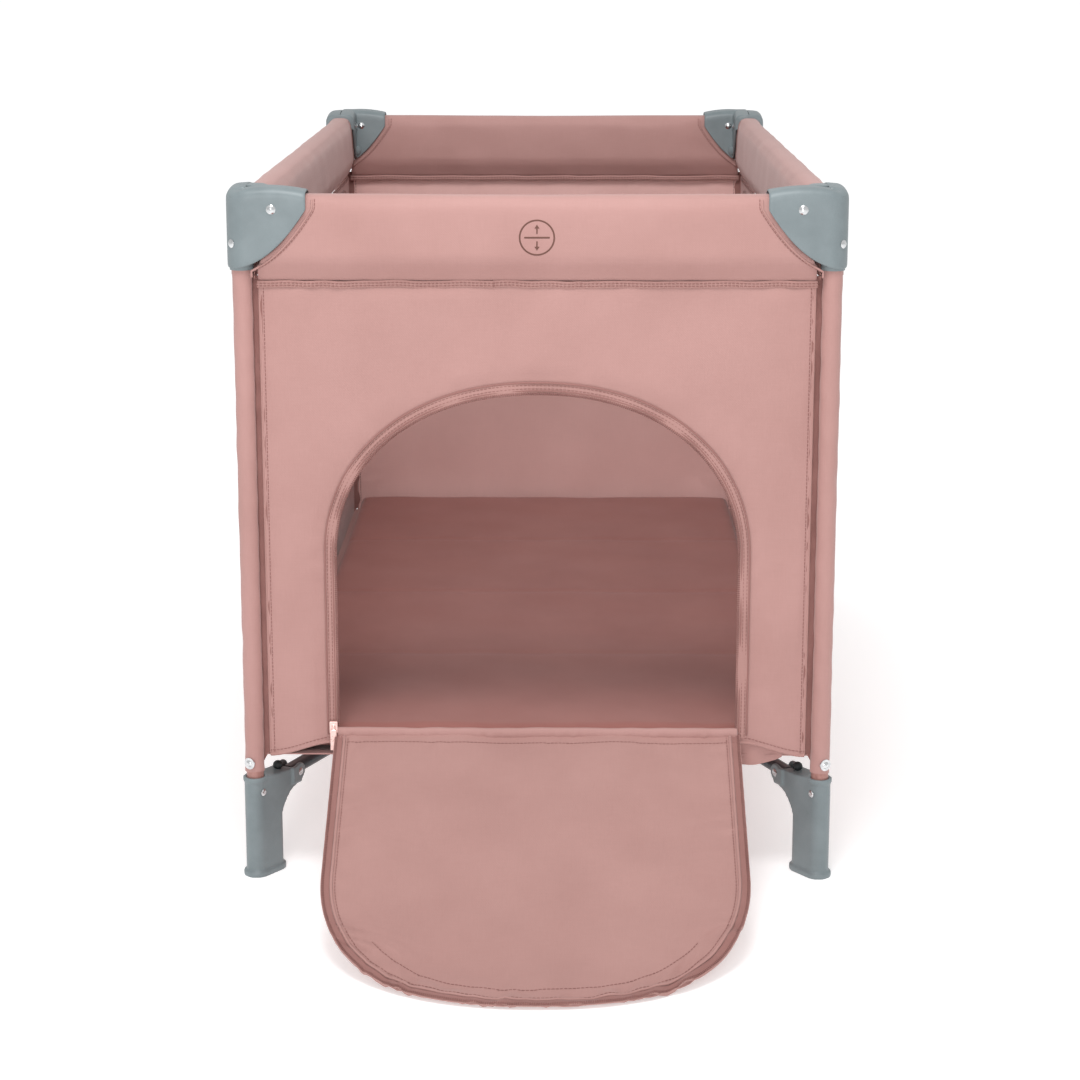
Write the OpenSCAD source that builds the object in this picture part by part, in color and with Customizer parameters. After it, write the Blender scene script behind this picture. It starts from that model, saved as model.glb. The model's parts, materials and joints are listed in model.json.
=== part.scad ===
// Folding travel cot with a zip-down door at one end.
// The frame folds like an umbrella: four legs, four floor arms on a centre hub,
// and four top rails that are each two half rails on a centre lock.
// Frame: origin on the floor under the centre foot, +Y towards the end without the door, +Z up.

/* [Cot] */
// Overall width across the corner castings
cot_w = 650; // [620:5:700]
// Overall length across the corner castings
cot_l = 1200; // [1100:10:1300]
// Overall height to the top of the corner castings
cot_h = 760; // [740:5:800]

/* [Tubes] */
// Diameter of the leg tubes
leg_d = 19; // [18:0.5:20]
// Diameter of the top rail tubes
rail_d = 20; // [18:0.5:20]
// Wall of the steel tubes
tube_wall = 1.2; // [1:0.1:1.5]
// Width of the flat oval floor arms
arm_w = 18; // [16:0.5:18]
// Height of the flat oval floor arms
arm_h = 13; // [10:0.5:14]

/* [Castings and feet] */
// Reach of a casting's wing along the rail, from the outer face
wing_len = 85; // [80:1:95]
// Thickness of a casting across the rail
wing_t = 42; // [42:0.5:44]
// Height of the moulded foot
foot_h = 114; // [112:1:116]

/* [Door] */
// Half width of the zip's centre line at the hem
door_half_w = 222; // [200:1:230]
// Height of the straight part of the door's sides
door_spring = 200; // [160:5:220]
// Rise of the arch over the straight sides
door_rise = 184; // [150:1:190]
// Width of the zip tape
tape_w = 13; // [10:0.5:16]
// Slope of the open flap below the horizontal
flap_slope = 28; // [24:0.5:28]
// Length of the flap along its slope
flap_len = 374; // [360:1:374]

/* [Mattress] */
// Thickness of the mattress pad
mattress_t = 25; // [20:1:30]

/* [Hidden] */
$fn = 48;
EPS = 0.01;
CORNERS = ["fl", "fr", "rl", "rr"];
SIGNS = [[-1, -1], [1, -1], [-1, 1], [1, 1]];
RAILS = ["front", "rear", "left", "right"];
ENDS = ["front_l", "front_r", "rear_l", "rear_r"];
SIDES = ["left_f", "left_r", "right_f", "right_r"];

// Rail planes and the corners where they cross
rail_inset = wing_t / 2;
corner_x = cot_w / 2 - rail_inset;
corner_y = cot_l / 2 - rail_inset;
rail_z = cot_h - 23;
// Leg axis, outside the crossing of the rail planes
leg_out = 5.5;
leg_x = corner_x + leg_out;
leg_y = corner_y + leg_out;
leg_bottom = 12;
leg_top = cot_h - 16;
// Pivots: rail and arm spans are equal in plan, so one fold angle serves them all
rail_pivot = 28;
lock_pitch = 32;
span_x = corner_x - rail_pivot - lock_pitch;
span_y = corner_y - rail_pivot - lock_pitch;
hub_x = 32;
hub_y = 20;
arm_z = 105;
arm_len = norm([span_x, span_y]);
arm_angle = atan2(span_y, span_x);
foot_pivot = [hub_x + span_x - leg_x, hub_y + span_y - leg_y];
// Pins and their running clearance
pin_r = 3;
pin_gap = 0.1;
bore_r = pin_r + pin_gap;
bolt_r = 2.5;
bolt_gap = 0.1;
head_lift = 0.2;
bolt_z = cot_h - 59;
leg_screw_z = 131;
washer_r = 6.5;
washer_t = 1.4;
// Dome heads, as radius and height
rail_head = [5, 2.2];
corner_head = [4.5, 2];
leg_head = [4, 2];
foot_head = [4, 1.8];
hub_head = [4, 1.5];
leg_screw_angle = 63;
// How far the arms and half rails run past their pivots
arm_end = 7;
arm_clear = 10;
rail_end = 6;
// Corner casting
plate_t = 3;
roof_t = 2.8;
crown_at = 46;
crown_drop = 6.5;
leaf_z = cot_h - 23;
leaf_h = 64;
leaf_power = 2.15;
core_inset = 28;
wing_end_h = 15;
// Boss in the inner corner that the diagonal bolt's head sits on
boss_reach = 34.2;
corner_boss_r = 6;
// Foot
foot_r = 12.2;
foot_reach = 23.8;
foot_flange = 3;
foot_flange_h = 6;
rim = 1.3;
rim_h = 5;
fin_angle = atan2(foot_pivot.y, foot_pivot.x);
fin_len = norm(foot_pivot);
fin_bottom = 34;
fin_top = 92;
ear_t = 4;
ear_r = 10;
ear_gap = 0.4;
// Centre locks
lock_half = 44;
lock_step = 14;
lock_plate = 3;
lock_gap = 0.4;
lock_t = rail_d + 2 * lock_gap + 2 * lock_plate;
lock_top = rail_z + 7;
web_top = rail_z - 12.5;
lock_low = rail_z - 44;
button_z = rail_z - 29;
button_r = 9;
button_travel = 3;
// Rail sleeves
sleeve_t = 34;
sleeve_wall = 2.75;
shoulder_r = 10;
sleeve_top = cot_h - 8.5;
sleeve_low = cot_h - 100;
sleeve_gap = 0.15;
// Places of the sleeve's end under the casting, as distance from the corner and drop from the top
sleeve_end = [[42, 0], [42, 48], [24, 70], [24, 89], [18, 101]];
// Hub
plate_r = 54;
plate_z = arm_z + 12;
boss_r = 12;
hub_ear_t = 3.5;
hub_ear_w = 16;
plate_h = 5;
// Pull strap through the mattress
strap_half = 35;
strap_w = 24;
strap_t = 2;
// Walls
end_wall_x = leg_x - 17.5;
end_wall_y = corner_y + 4;
side_wall_x = corner_x - 6;
side_wall_y = leg_y - 17.5;
wall_t = 4;
wall_low = 140;
wall_high = sleeve_low - 1;
window_y = 520;
window_low = 330;
window_high = sleeve_low - 12;
mesh_t = 1.5;
// Door
hem_z = 162;
hem_y = -(end_wall_y + wall_t / 2 + 2.5);
hem_r = 4;
flap_t = 3.5;
tape_t = 1.2;
slider_size = [9, 4, 13];
bridge_size = [3, 2, 7];
pull_size = [7, 1.4, 23];
flap_gap = 3.5;
hem_half = door_half_w - tape_w / 2;
// The flap's tip flattens out onto the floor
curl_len = 74;
curl_r = curl_len / flap_slope * 180 / PI;
arch_power = 2.15;

// Puts a part made for the corner at +X +Y into the corner with the signs s
module in_corner(s) {
    multmatrix([[s.x, 0, 0, 0], [0, s.y, 0, 0], [0, 0, 1, 0], [0, 0, 0, 1]]) children();
}

module at_leg() translate([leg_x, leg_y, 0]) children();

// Turns a part's X axis along the floor arm, out from the hub
module along_arm() rotate([0, 0, arm_angle]) children();

// ---- Legs ----
module leg() {
    color("rosybrown") at_leg() difference() {
        translate([0, 0, leg_bottom]) cylinder(d = leg_d, h = leg_top - leg_bottom);
        translate([0, 0, leg_bottom - 1])
            cylinder(d = leg_d - 2 * tube_wall, h = leg_top - leg_bottom + 2);
        leg_bolt_holes();
    }
}

// Clearance holes of the bolts that cross a leg
module leg_bolt_holes() {
    translate([0, 0, bolt_z]) rotate([0, 0, 45]) rotate([0, 90, 0])
        cylinder(r = bolt_r + bolt_gap, h = 90, center = true);
    translate([0, 0, leg_screw_z]) rotate([0, 0, leg_screw_angle]) rotate([0, 90, 0])
        cylinder(r = bolt_r + bolt_gap, h = 40);
    translate([0, 0, foot_bolt_z()]) rotate([0, 0, fin_angle + 90]) rotate([0, 90, 0])
        cylinder(r = bolt_r + bolt_gap, h = 60, center = true);
}

function foot_bolt_z() = foot_h - 17;

// ---- Corner castings ----
// Height of a wing's top at distance d from the casting's outer face
function wing_top(d) = cot_h - crown_drop * pow((d - crown_at) / crown_at, 2);

// Height of a wing's leaf-shaped lower edge at distance d from the casting's outer face
function leaf_low(d) = leaf_z - leaf_h * (1 - pow(d / wing_len, leaf_power));

// Side outline of a wing, in distance from the outer face and height
module wing_outline(drop = 0) {
    polygon(concat(
        [for (i = [0:12]) let (d = rail_inset + (wing_len - rail_inset) * i / 12)
            [d, wing_top(d) - drop]],
        [for (i = [0:14]) let (d = wing_len - (wing_len - rail_inset) * i / 14)
            [d, leaf_low(d)]]));
}

// A slab of thickness t with the wing's outline, running from the corner along -X
module wing(t, drop = 0) {
    translate([rail_inset, 0, 0]) mirror([1, 0, 0]) rotate([90, 0, 0])
        linear_extrude(height = t, center = true) wing_outline(drop);
}

// The hollow of a wing: open below and at the end, closed by the core and the roof
module wing_hollow() {
    intersection() {
        translate([-wing_len, -wing_t / 2 + plate_t, 0])
            cube([wing_len + rail_inset - core_inset, wing_t - 2 * plate_t, cot_h]);
        union() {
            wing(wing_t, roof_t);
            translate([-wing_len, -wing_t, 0]) cube([wing_len, 2 * wing_t, rail_z]);
            translate([-wing_len - 1, -wing_t, rail_z - EPS])
                cube([rail_inset + 2, 2 * wing_t, wing_end_h]);
        }
    }
}

module both_wings() {
    children();
    mirror([1, -1, 0]) children();
}

module corner() {
    color("slategray") translate([corner_x, corner_y, 0]) difference() {
        union() {
            both_wings() wing(wing_t);
            translate([0, 0, leaf_z - leaf_h + 1]) cylinder(r = rail_inset,
                h = wing_top(0) + 4 - leaf_z + leaf_h);
            translate([0, 0, bolt_z]) rotate([0, 0, 225]) rotate([0, 90, 0])
                cylinder(r = corner_boss_r, h = boss_reach);
        }
        both_wings() wing_hollow();
        both_wings() translate([-rail_pivot, 0, rail_z]) rotate([90, 0, 0])
            cylinder(r = bore_r, h = 2 * wing_t, center = true);
        translate([leg_out, leg_out, 0]) cylinder(d = leg_d + 0.4, h = leg_top + 0.2);
        translate([0, 0, bolt_z]) rotate([0, 0, 45]) rotate([0, 90, 0])
            cylinder(r = bolt_r + bolt_gap, h = 4 * rail_inset, center = true);
    }
}

// ---- Feet ----
// Side outline of the fin that carries the arm's clevis
module fin_outline() {
    polygon(concat(
        [[0, 0.5], [foot_reach, 0.5]],
        [for (a = [0:9:81]) [foot_reach + (fin_len + 3 - foot_reach) * (1 - cos(a)),
            fin_bottom + (fin_top - fin_bottom) * sin(a)]],
        [[fin_len + 6, fin_top], [fin_len + 6, foot_h - 2], [0, foot_h - 1]]));
}

module foot_section(grow, z, h) {
    translate([0, 0, z]) {
        cylinder(r = foot_r + grow, h = h);
        translate([foot_reach, 0, 0]) cylinder(r = foot_r + grow, h = h);
        translate([0, -foot_r - grow, 0]) cube([foot_reach, 2 * (foot_r + grow), h]);
    }
}

// The upright gap that the arm's end turns in
module arm_slot() {
    translate([foot_pivot.x, foot_pivot.y, arm_z]) along_arm()
        translate([-60, -arm_w / 2 - ear_gap, -arm_clear])
            cube([60 + arm_clear, arm_w + 2 * ear_gap, 60]);
}

module foot() {
    color("slategray") at_leg() difference() {
        union() {
            rotate([0, 0, fin_angle]) {
                foot_section(0, 0, foot_h - 12);
                foot_section(foot_flange, 0, foot_flange_h);
                rotate([90, 0, 0]) linear_extrude(height = 2 * foot_r, center = true) fin_outline();
            }
            cylinder(r = foot_r, h = foot_h);
            translate([0, 0, foot_h - rim_h]) cylinder(r = foot_r + rim, h = rim_h);
            translate([foot_pivot.x, foot_pivot.y, arm_z]) along_arm() clevis_ears();
        }
        translate([0, 0, leg_bottom]) cylinder(d = leg_d + 0.4, h = foot_h);
        arm_slot();
        translate([foot_pivot.x, foot_pivot.y, arm_z]) along_arm() rotate([90, 0, 0])
            cylinder(r = bore_r, h = 60, center = true);
        translate([0, 0, foot_bolt_z()]) rotate([0, 0, fin_angle + 90]) rotate([0, 90, 0])
            cylinder(r = bolt_r + bolt_gap, h = 60, center = true);
    }
}

module clevis_ears() {
    for (side = [-1, 1]) translate([0, side * (arm_w / 2 + ear_gap + ear_t / 2), 0]) {
        rotate([90, 0, 0]) cylinder(r = ear_r, h = ear_t, center = true);
        translate([-2, -ear_t / 2, -ear_r - 1]) cube([16, ear_t, 2 * ear_r - 1]);
    }
}

// ---- Fasteners of one corner ----
module dome_head(r, h) {
    intersection() {
        translate([0, 0, h - (r * r + h * h) / (2 * h)]) sphere(r = (r * r + h * h) / (2 * h));
        cylinder(r = r, h = h);
    }
}

// A pin along X, centred, with a dome head at each end
module headed_pin(r, span, head) {
    rotate([0, 90, 0]) cylinder(r = r, h = span, center = true);
    for (side = [0, 180]) rotate([0, side, 0]) rotate([0, 90, 0])
        translate([0, 0, span / 2]) dome_head(head[0], head[1]);
}

module fasteners() {
    color("gainsboro") {
        translate([corner_x, corner_y, 0]) {
            both_wings() translate([-rail_pivot, 0, rail_z]) rotate([0, 0, 90])
                headed_pin(pin_r, wing_t + head_lift, rail_head);
            translate([0, 0, bolt_z]) rotate([0, 0, 225]) translate([(boss_reach - rail_inset) / 2, 0, 0])
                headed_pin(bolt_r, boss_reach + rail_inset + head_lift, corner_head);
        }
        at_leg() {
            translate([0, 0, leg_screw_z]) rotate([0, 0, leg_screw_angle]) rotate([0, 90, 0]) {
                translate([0, 0, leg_d / 2 - 4.5]) cylinder(r = bolt_r, h = 7);
                translate([0, 0, leg_d / 2 + 0.4]) cylinder(r = washer_r, h = washer_t);
                translate([0, 0, leg_d / 2 + 0.3 + washer_t]) dome_head(leg_head[0], leg_head[1]);
            }
            translate([0, 0, foot_bolt_z()]) rotate([0, 0, fin_angle + 90])
                headed_pin(bolt_r, 2 * foot_r + head_lift, foot_head);
            translate([foot_pivot.x, foot_pivot.y, arm_z]) rotate([0, 0, arm_angle + 90])
                headed_pin(pin_r, arm_w + 2 * (ear_gap + ear_t) + head_lift, corner_head);
        }
    }
}

// ---- Floor arms ----
// A flat oval bar along X from before the first pivot to past the last one
module oval_bar(w, h, overrun) {
    translate([-overrun, 0, 0]) {
        for (side = [-1, 1]) translate([0, side * (w - h) / 2, 0]) rotate([0, 90, 0])
            cylinder(d = h, h = arm_len + 2 * overrun);
        translate([0, -(w - h) / 2, -h / 2]) cube([arm_len + 2 * overrun, w - h, h]);
    }
}

module arm() {
    color("darkslategray") translate([hub_x, hub_y, arm_z]) along_arm() difference() {
        oval_bar(arm_w, arm_h, arm_end);
        oval_bar(arm_w - 2 * tube_wall, arm_h - 2 * tube_wall, arm_end + 1);
        for (x = [0, arm_len]) translate([x, 0, 0]) rotate([90, 0, 0])
            cylinder(r = bore_r, h = arm_w + 2, center = true);
    }
}

// ---- Top rails ----
// A half rail from its casting pivot at the origin along -X to its lock pin
module half_rail(len) {
    color("darkslategray") difference() {
        translate([rail_end, 0, 0]) rotate([0, -90, 0]) cylinder(d = rail_d, h = len + 2 * rail_end);
        translate([rail_end + 1, 0, 0]) rotate([0, -90, 0])
            cylinder(d = rail_d - 2 * tube_wall, h = len + 2 * rail_end + 2);
        for (x = [0, -len]) translate([x, 0, 0]) rotate([90, 0, 0])
            cylinder(r = bore_r, h = rail_d + 2, center = true);
    }
}

module end_half_rail() translate([corner_x - rail_pivot, corner_y, rail_z]) half_rail(span_x);

module side_half_rail()
    translate([corner_x, corner_y - rail_pivot, rail_z]) rotate([0, 0, 90]) half_rail(span_y);

// Lock housing across the middle of a rail that runs along X, its button facing +Y
module lock() {
    color("dimgray") difference() {
        union() {
            translate([-lock_half, -lock_t / 2, web_top - 4])
                cube([2 * lock_half, lock_t, lock_top - web_top + 4]);
            translate([-lock_half + lock_step, -lock_t / 2, lock_low])
                cube([2 * (lock_half - lock_step), lock_t, web_top - lock_low]);
        }
        translate([-lock_half - 1, -rail_d / 2 - lock_gap, web_top])
            cube([2 * lock_half + 2, rail_d + 2 * lock_gap, 40]);
        translate([0, 0, button_z]) rotate([-90, 0, 0])
            translate([0, 0, -4.5]) cylinder(r = button_r + 0.2, h = 40);
    }
    color("gainsboro") for (x = [-lock_pitch, lock_pitch]) translate([x, 0, rail_z])
        rotate([90, 0, 0]) cylinder(r = pin_r, h = lock_t, center = true);
}

module button() {
    color("gainsboro") translate([0, 0, button_z]) rotate([-90, 0, 0])
        cylinder(r = button_r, h = lock_t / 2 + 0.4);
}

// Padded fabric sleeve of one half rail, running from the corner along -X
module sleeve_ring() {
    difference() {
        rounded_section(sleeve_t, sleeve_low, sleeve_top, shoulder_r);
        rounded_section(sleeve_t - 2 * sleeve_wall, sleeve_low + sleeve_wall,
            sleeve_top - sleeve_wall, shoulder_r - 4);
    }
}

module rounded_section(w, low, high, r) {
    for (side = [-1, 1]) translate([side * (w / 2 - r), high - r]) circle(r = r);
    translate([-w / 2, low]) square([w, high - r - low]);
    translate([-w / 2 + r, low]) square([w - 2 * r, high - low]);
}

// The sleeve's end follows the casting's leaf edge down to the leg
module sleeve(len) {
    color("rosybrown") intersection() {
        rotate([90, 0, -90]) linear_extrude(height = len - sleeve_gap) sleeve_ring();
        rotate([90, 0, 0]) linear_extrude(height = 2 * sleeve_t, center = true)
            polygon(concat([[-len, sleeve_low - 1], [-len, cot_h]],
                [for (p = sleeve_end) [-p.x, cot_h - p.y]]));
    }
}

module end_sleeve() translate([corner_x, corner_y, 0]) sleeve(corner_x);

module side_sleeve() translate([corner_x, corner_y, 0]) rotate([0, 0, 90]) mirror([0, 1, 0])
    sleeve(corner_y);

// ---- Centre hub ----
module hub_plate() {
    color("slategray") difference() {
        union() {
            translate([0, 0, plate_z]) cylinder(r = plate_r, h = plate_h);
            translate([0, 0, arm_z - 10]) cylinder(r = boss_r, h = plate_z - arm_z + 11);
            for (s = SIGNS) in_corner(s) translate([hub_x, hub_y, arm_z]) along_arm() hub_ears();
        }
        for (s = SIGNS) in_corner(s) translate([hub_x, hub_y, arm_z]) along_arm()
            rotate([90, 0, 0]) cylinder(r = bore_r, h = arm_w + 10, center = true);
    }
}

module hub_ears() {
    for (side = [-1, 1])
        translate([-hub_ear_w / 2, side * (arm_w / 2 + ear_gap + hub_ear_t / 2) - hub_ear_t / 2, -9])
        cube([hub_ear_w, hub_ear_t, plate_z - arm_z + 10]);
}

module hub_cap() {
    color("dimgray") translate([0, 0, plate_z + plate_h + 0.1]) rotate_extrude() polygon(concat(
        [[0, 0], [plate_r - 6, 0]],
        [for (a = [0:10:90]) [20 + (plate_r - 26) * cos(a), 1 + 5 * sin(a)]], [[0, 6]]));
}

module hub_pins() {
    color("gainsboro") for (s = SIGNS) in_corner(s) translate([hub_x, hub_y, arm_z])
        rotate([0, 0, arm_angle + 90])
            headed_pin(pin_r, arm_w + 2 * (ear_gap + hub_ear_t) + head_lift, hub_head);
}

module hub_foot() {
    color("dimgray") rotate_extrude() polygon([[0, 0], [21, 0], [23, 2], [23, 6],
        [18, 10], [11, 22], [9.5, arm_z - 10.2], [0, arm_z - 10.2]]);
}

module pull_strap() {
    color("firebrick") translate([0, 0, plate_z + plate_h + 6.3])
        linear_extrude(height = strap_t) difference() {
        union() {
            square([2 * strap_half, strap_w], center = true);
            for (x = [-strap_half, strap_half]) translate([x, 0]) circle(d = strap_w);
        }
        for (x = [-1, 1]) translate([x * 22, 0]) square([30, 8], center = true);
    }
}

// ---- Fabric ----
// Half width of the door's outline at height h over the hem
function arch_half(h, half, spring, rise) = h <= spring ? half :
    half * pow(max(0, 1 - pow((h - spring) / rise, arch_power)), 1 / arch_power);

ARCH_STEPS = [for (i = [1:14]) sin(90 * i / 14)];

// Right side of the door's outline from the hem to the crown, as half width and height
function arch_side(half, spring, rise) = concat([[half, 0]],
    [for (t = concat([0], ARCH_STEPS)) [arch_half(spring + rise * t, half, spring, rise),
        spring + rise * t]]);

function left_side(side) = [for (i = [len(side) - 1:-1:0]) [-side[i].x, side[i].y]];

module arch(grow) {
    side = arch_side(door_half_w + grow, door_spring, door_rise + grow);
    polygon(concat(side, left_side(side)));
}

module upright(y, t) translate([0, y + t / 2, 0]) rotate([90, 0, 0]) linear_extrude(height = t)
    children();

module wall_front() {
    color("rosybrown") upright(-end_wall_y, wall_t) difference() {
        translate([-end_wall_x, wall_low]) square([2 * end_wall_x, wall_high - wall_low]);
        translate([0, hem_z]) arch(-tape_w / 2);
        translate([-hem_half, hem_z - hem_r - 0.5]) square([2 * hem_half, 2 * hem_r]);
    }
}

module wall_rear() {
    color("rosybrown") upright(end_wall_y, wall_t)
        translate([-end_wall_x, wall_low]) square([2 * end_wall_x, wall_high - wall_low]);
}

// Side wall with the opening of its mesh window
module wall_side() {
    color("rosybrown") rotate([0, 0, 90]) upright(-side_wall_x, wall_t) difference() {
        translate([-side_wall_y, wall_low]) square([2 * side_wall_y, wall_high - wall_low]);
        translate([-window_y, window_low]) square([2 * window_y, window_high - window_low]);
    }
}

module mesh_side() {
    color("darkslateblue") rotate([0, 0, 90]) upright(-side_wall_x, mesh_t)
        translate([0.3 - window_y, window_low + 0.3])
            square([2 * window_y - 0.6, window_high - window_low - 0.6]);
}

module zip_tape() {
    color("indianred") upright(-end_wall_y - wall_t / 2 - tape_t / 2 - 0.1, tape_t) difference() {
        translate([0, hem_z]) arch(tape_w / 2);
        translate([0, hem_z - 1]) arch(-tape_w / 2);
        translate([-300, 0]) square([600, hem_z]);
    }
}

module zip_slider() {
    color("mistyrose") translate([-door_half_w, -end_wall_y - wall_t / 2 - tape_t - 0.4, hem_z + 3]) {
        translate([-slider_size.x / 2, -slider_size.y, 0]) cube(slider_size);
        translate([-bridge_size.x / 2, -slider_size.y - 1.5, 2]) cube(bridge_size);
        translate([-pull_size.x / 2, -slider_size.y - 2.5, 4 - pull_size.z]) cube(pull_size);
    }
}

// Point of the open flap's middle surface at path length s from the hem, as [y, z]
function flap_at(s) = let (straight = flap_len - curl_len)
    s <= straight ? [hem_y - s * cos(flap_slope), hem_z - s * sin(flap_slope)] :
    let (turn = (s - straight) / curl_r * 180 / PI, q = flap_slope - turn)
        [hem_y - straight * cos(flap_slope) - curl_r * (sin(flap_slope) - sin(q)),
        hem_z - straight * sin(flap_slope) - curl_r * (cos(q) - cos(flap_slope))];

function flap_dip(s) = flap_slope - max(0, (s - flap_len + curl_len) / curl_r * 180 / PI);

function flap_skin(s, side) = flap_at(s) + side * flap_t / 2 * [-sin(flap_dip(s)), cos(flap_dip(s))];

FLAP_STEPS = concat([3], [for (i = [0:8]) flap_len - curl_len * (1 - i / 8)]);

// Outline of the open flap seen from above
module flap_plan() {
    side = [for (p = arch_side(hem_half - flap_gap, door_spring, flap_len - door_spring))
        [p.x, flap_at(p.y).x]];
    polygon(concat(side, left_side(side)));
}

module door_flap() {
    color("rosybrown") {
        intersection() {
            rotate([90, 0, 90]) linear_extrude(height = 2 * door_half_w, center = true)
                polygon(concat([for (s = FLAP_STEPS) flap_skin(s, 1)],
                    [for (i = [len(FLAP_STEPS) - 1:-1:0]) flap_skin(FLAP_STEPS[i], -1)]));
            linear_extrude(height = hem_z + 20) flap_plan();
        }
        translate([0, hem_y, hem_z]) rotate([0, 90, 0])
            cylinder(r = hem_r, h = 2 * (hem_half - flap_gap), center = true);
    }
}

module base_fabric() {
    color("rosybrown") translate([0, 0, wall_low - 6]) linear_extrude(height = 3) difference() {
        square([2 * (end_wall_x - 2), 2 * (corner_y - 7)], center = true);
        circle(r = plate_r - 10);
    }
}

module mattress() {
    color("brown") translate([0, 0, wall_low + mattress_t / 2])
        cube([2 * (end_wall_x - 4), 2 * (corner_y - 9), mattress_t], center = true);
}

// ---- The nodes ----
for (i = [0:3]) {
    in_corner(SIGNS[i]) leg();
    in_corner(SIGNS[i]) corner();
    in_corner(SIGNS[i]) foot();
    in_corner(SIGNS[i]) fasteners();
    in_corner(SIGNS[i]) arm();
    in_corner(SIGNS[i]) end_half_rail();
    in_corner(SIGNS[i]) end_sleeve();
    // side rails run left_f, left_r, right_f, right_r, so their corners are 0, 2, 1, 3
    s = SIGNS[[0, 2, 1, 3][i]];
    in_corner(s) side_half_rail();
    in_corner(s) side_sleeve();
    // rails in the order front, rear, left, right
    at_rail(i) lock();
    at_rail(i) button();
}

// Puts a part made for a rail along X into the middle of rail i, facing outwards
module at_rail(i) {
    turn = [180, 0, 90, 270][i];
    reach = i < 2 ? corner_y : corner_x;
    rotate([0, 0, turn]) translate([0, reach, 0]) children();
}

hub_plate();
hub_cap();
hub_pins();
hub_foot();
pull_strap();
wall_front();
wall_rear();
in_corner([-1, 1]) wall_side();  // wall_left
wall_side();  // wall_right
in_corner([-1, 1]) mesh_side();  // mesh_left
mesh_side();  // mesh_right
zip_tape();
zip_slider();
door_flap();
base_fabric();
mattress();
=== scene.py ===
"""Looks of the folding travel cot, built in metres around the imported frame."""
import json
import math

import bmesh
import bpy
import numpy as np
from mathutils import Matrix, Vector
from mathutils.bvhtree import BVHTree


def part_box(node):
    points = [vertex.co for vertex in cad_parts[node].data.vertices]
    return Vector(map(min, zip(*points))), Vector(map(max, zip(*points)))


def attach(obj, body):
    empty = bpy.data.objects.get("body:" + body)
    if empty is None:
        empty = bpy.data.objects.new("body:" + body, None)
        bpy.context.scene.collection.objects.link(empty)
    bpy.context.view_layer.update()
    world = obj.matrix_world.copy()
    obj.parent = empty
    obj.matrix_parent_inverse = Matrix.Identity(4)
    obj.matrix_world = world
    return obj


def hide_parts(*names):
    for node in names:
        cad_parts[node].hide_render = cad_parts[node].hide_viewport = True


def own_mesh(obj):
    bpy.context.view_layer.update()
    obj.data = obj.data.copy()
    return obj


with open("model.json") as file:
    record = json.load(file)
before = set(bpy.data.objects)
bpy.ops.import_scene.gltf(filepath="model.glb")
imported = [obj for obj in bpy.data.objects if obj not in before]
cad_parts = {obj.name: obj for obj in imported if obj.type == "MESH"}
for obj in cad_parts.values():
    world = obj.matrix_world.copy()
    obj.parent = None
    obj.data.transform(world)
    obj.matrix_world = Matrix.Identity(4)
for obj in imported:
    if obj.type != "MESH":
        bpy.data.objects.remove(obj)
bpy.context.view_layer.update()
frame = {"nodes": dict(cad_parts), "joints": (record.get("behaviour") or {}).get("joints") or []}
NODES = frame["nodes"]
JOINTS = {j["name"]: j for j in frame["joints"]}
MM = 0.001
SIGNS = {"fl": (-1, -1), "fr": (1, -1), "rl": (-1, 1), "rr": (1, 1)}

# ---- Places and sizes, from the frame ----
casting_lo, casting_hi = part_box("corner_fr")
leg_lo, leg_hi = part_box("leg_fr")
wall_lo, wall_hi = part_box("wall_front")
side_lo, side_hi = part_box("wall_right")
sleeve_lo, sleeve_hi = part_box("sleeve_front_r")
window_lo, window_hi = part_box("mesh_right")
mattress_lo, mattress_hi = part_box("mattress")
base_lo, base_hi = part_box("base_fabric")
tape_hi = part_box("zip_tape")[1]
OUT_X = casting_hi.x
COT_H = casting_hi.z
RAIL_Z = JOINTS["rail_swing_front_l"]["pos_m"][2]
CORNER_Y = -JOINTS["rail_swing_front_l"]["pos_m"][1]
CORNER_X = -JOINTS["rail_swing_left_f"]["pos_m"][0]
LEG_X = (leg_lo.x + leg_hi.x) / 2
LEG_Y = -(leg_lo.y + leg_hi.y) / 2
LEG_R = (leg_hi.x - leg_lo.x) / 2
HEM_Y = JOINTS["door_swing"]["pos_m"][1]
HEM_Z = JOINTS["door_swing"]["pos_m"][2]
FLAP_SLOPE = math.radians(JOINTS["door_swing"]["range_deg"][1] - 90)
WALL_X = wall_hi.x
WALL_Y = -(wall_lo.y + wall_hi.y) / 2
WALL_LOW = wall_lo.z
WALL_HIGH = wall_hi.z

# ---- Sizes of the sewing ----
TAPE_W = 13 * MM
DOOR_SPRING = 200 * MM
DOOR_HALF = tape_hi.x - TAPE_W / 2
DOOR_RISE = tape_hi.z - TAPE_W / 2 - HEM_Z - DOOR_SPRING
ARCH_POWER = 2.15
STITCH_PITCH = 4.2 * MM
STITCH_LEN = 2.9 * MM
STITCH_STEP = 3 * MM
STITCH_INSET = 4.5 * MM
STITCH_LIFT = 0.05 * MM
LOCK_COVER = 46 * MM


# ---------------------------------------------------------------- mesh tools
def link(name, mesh):
    obj = bpy.data.objects.new(name, mesh)
    bpy.context.scene.collection.objects.link(obj)
    return obj


def make(name, verts, faces):
    """A mesh object from points and faces, with its normals turned outwards."""
    mesh = bpy.data.meshes.new(name)
    mesh.from_pydata([tuple(map(float, v)) for v in verts], [], faces)
    bm = bmesh.new()
    bm.from_mesh(mesh)
    bmesh.ops.remove_doubles(bm, verts=bm.verts, dist=1e-6)
    bmesh.ops.recalc_face_normals(bm, faces=bm.faces)
    bm.to_mesh(mesh)
    bm.free()
    return link(name, mesh)


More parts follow.
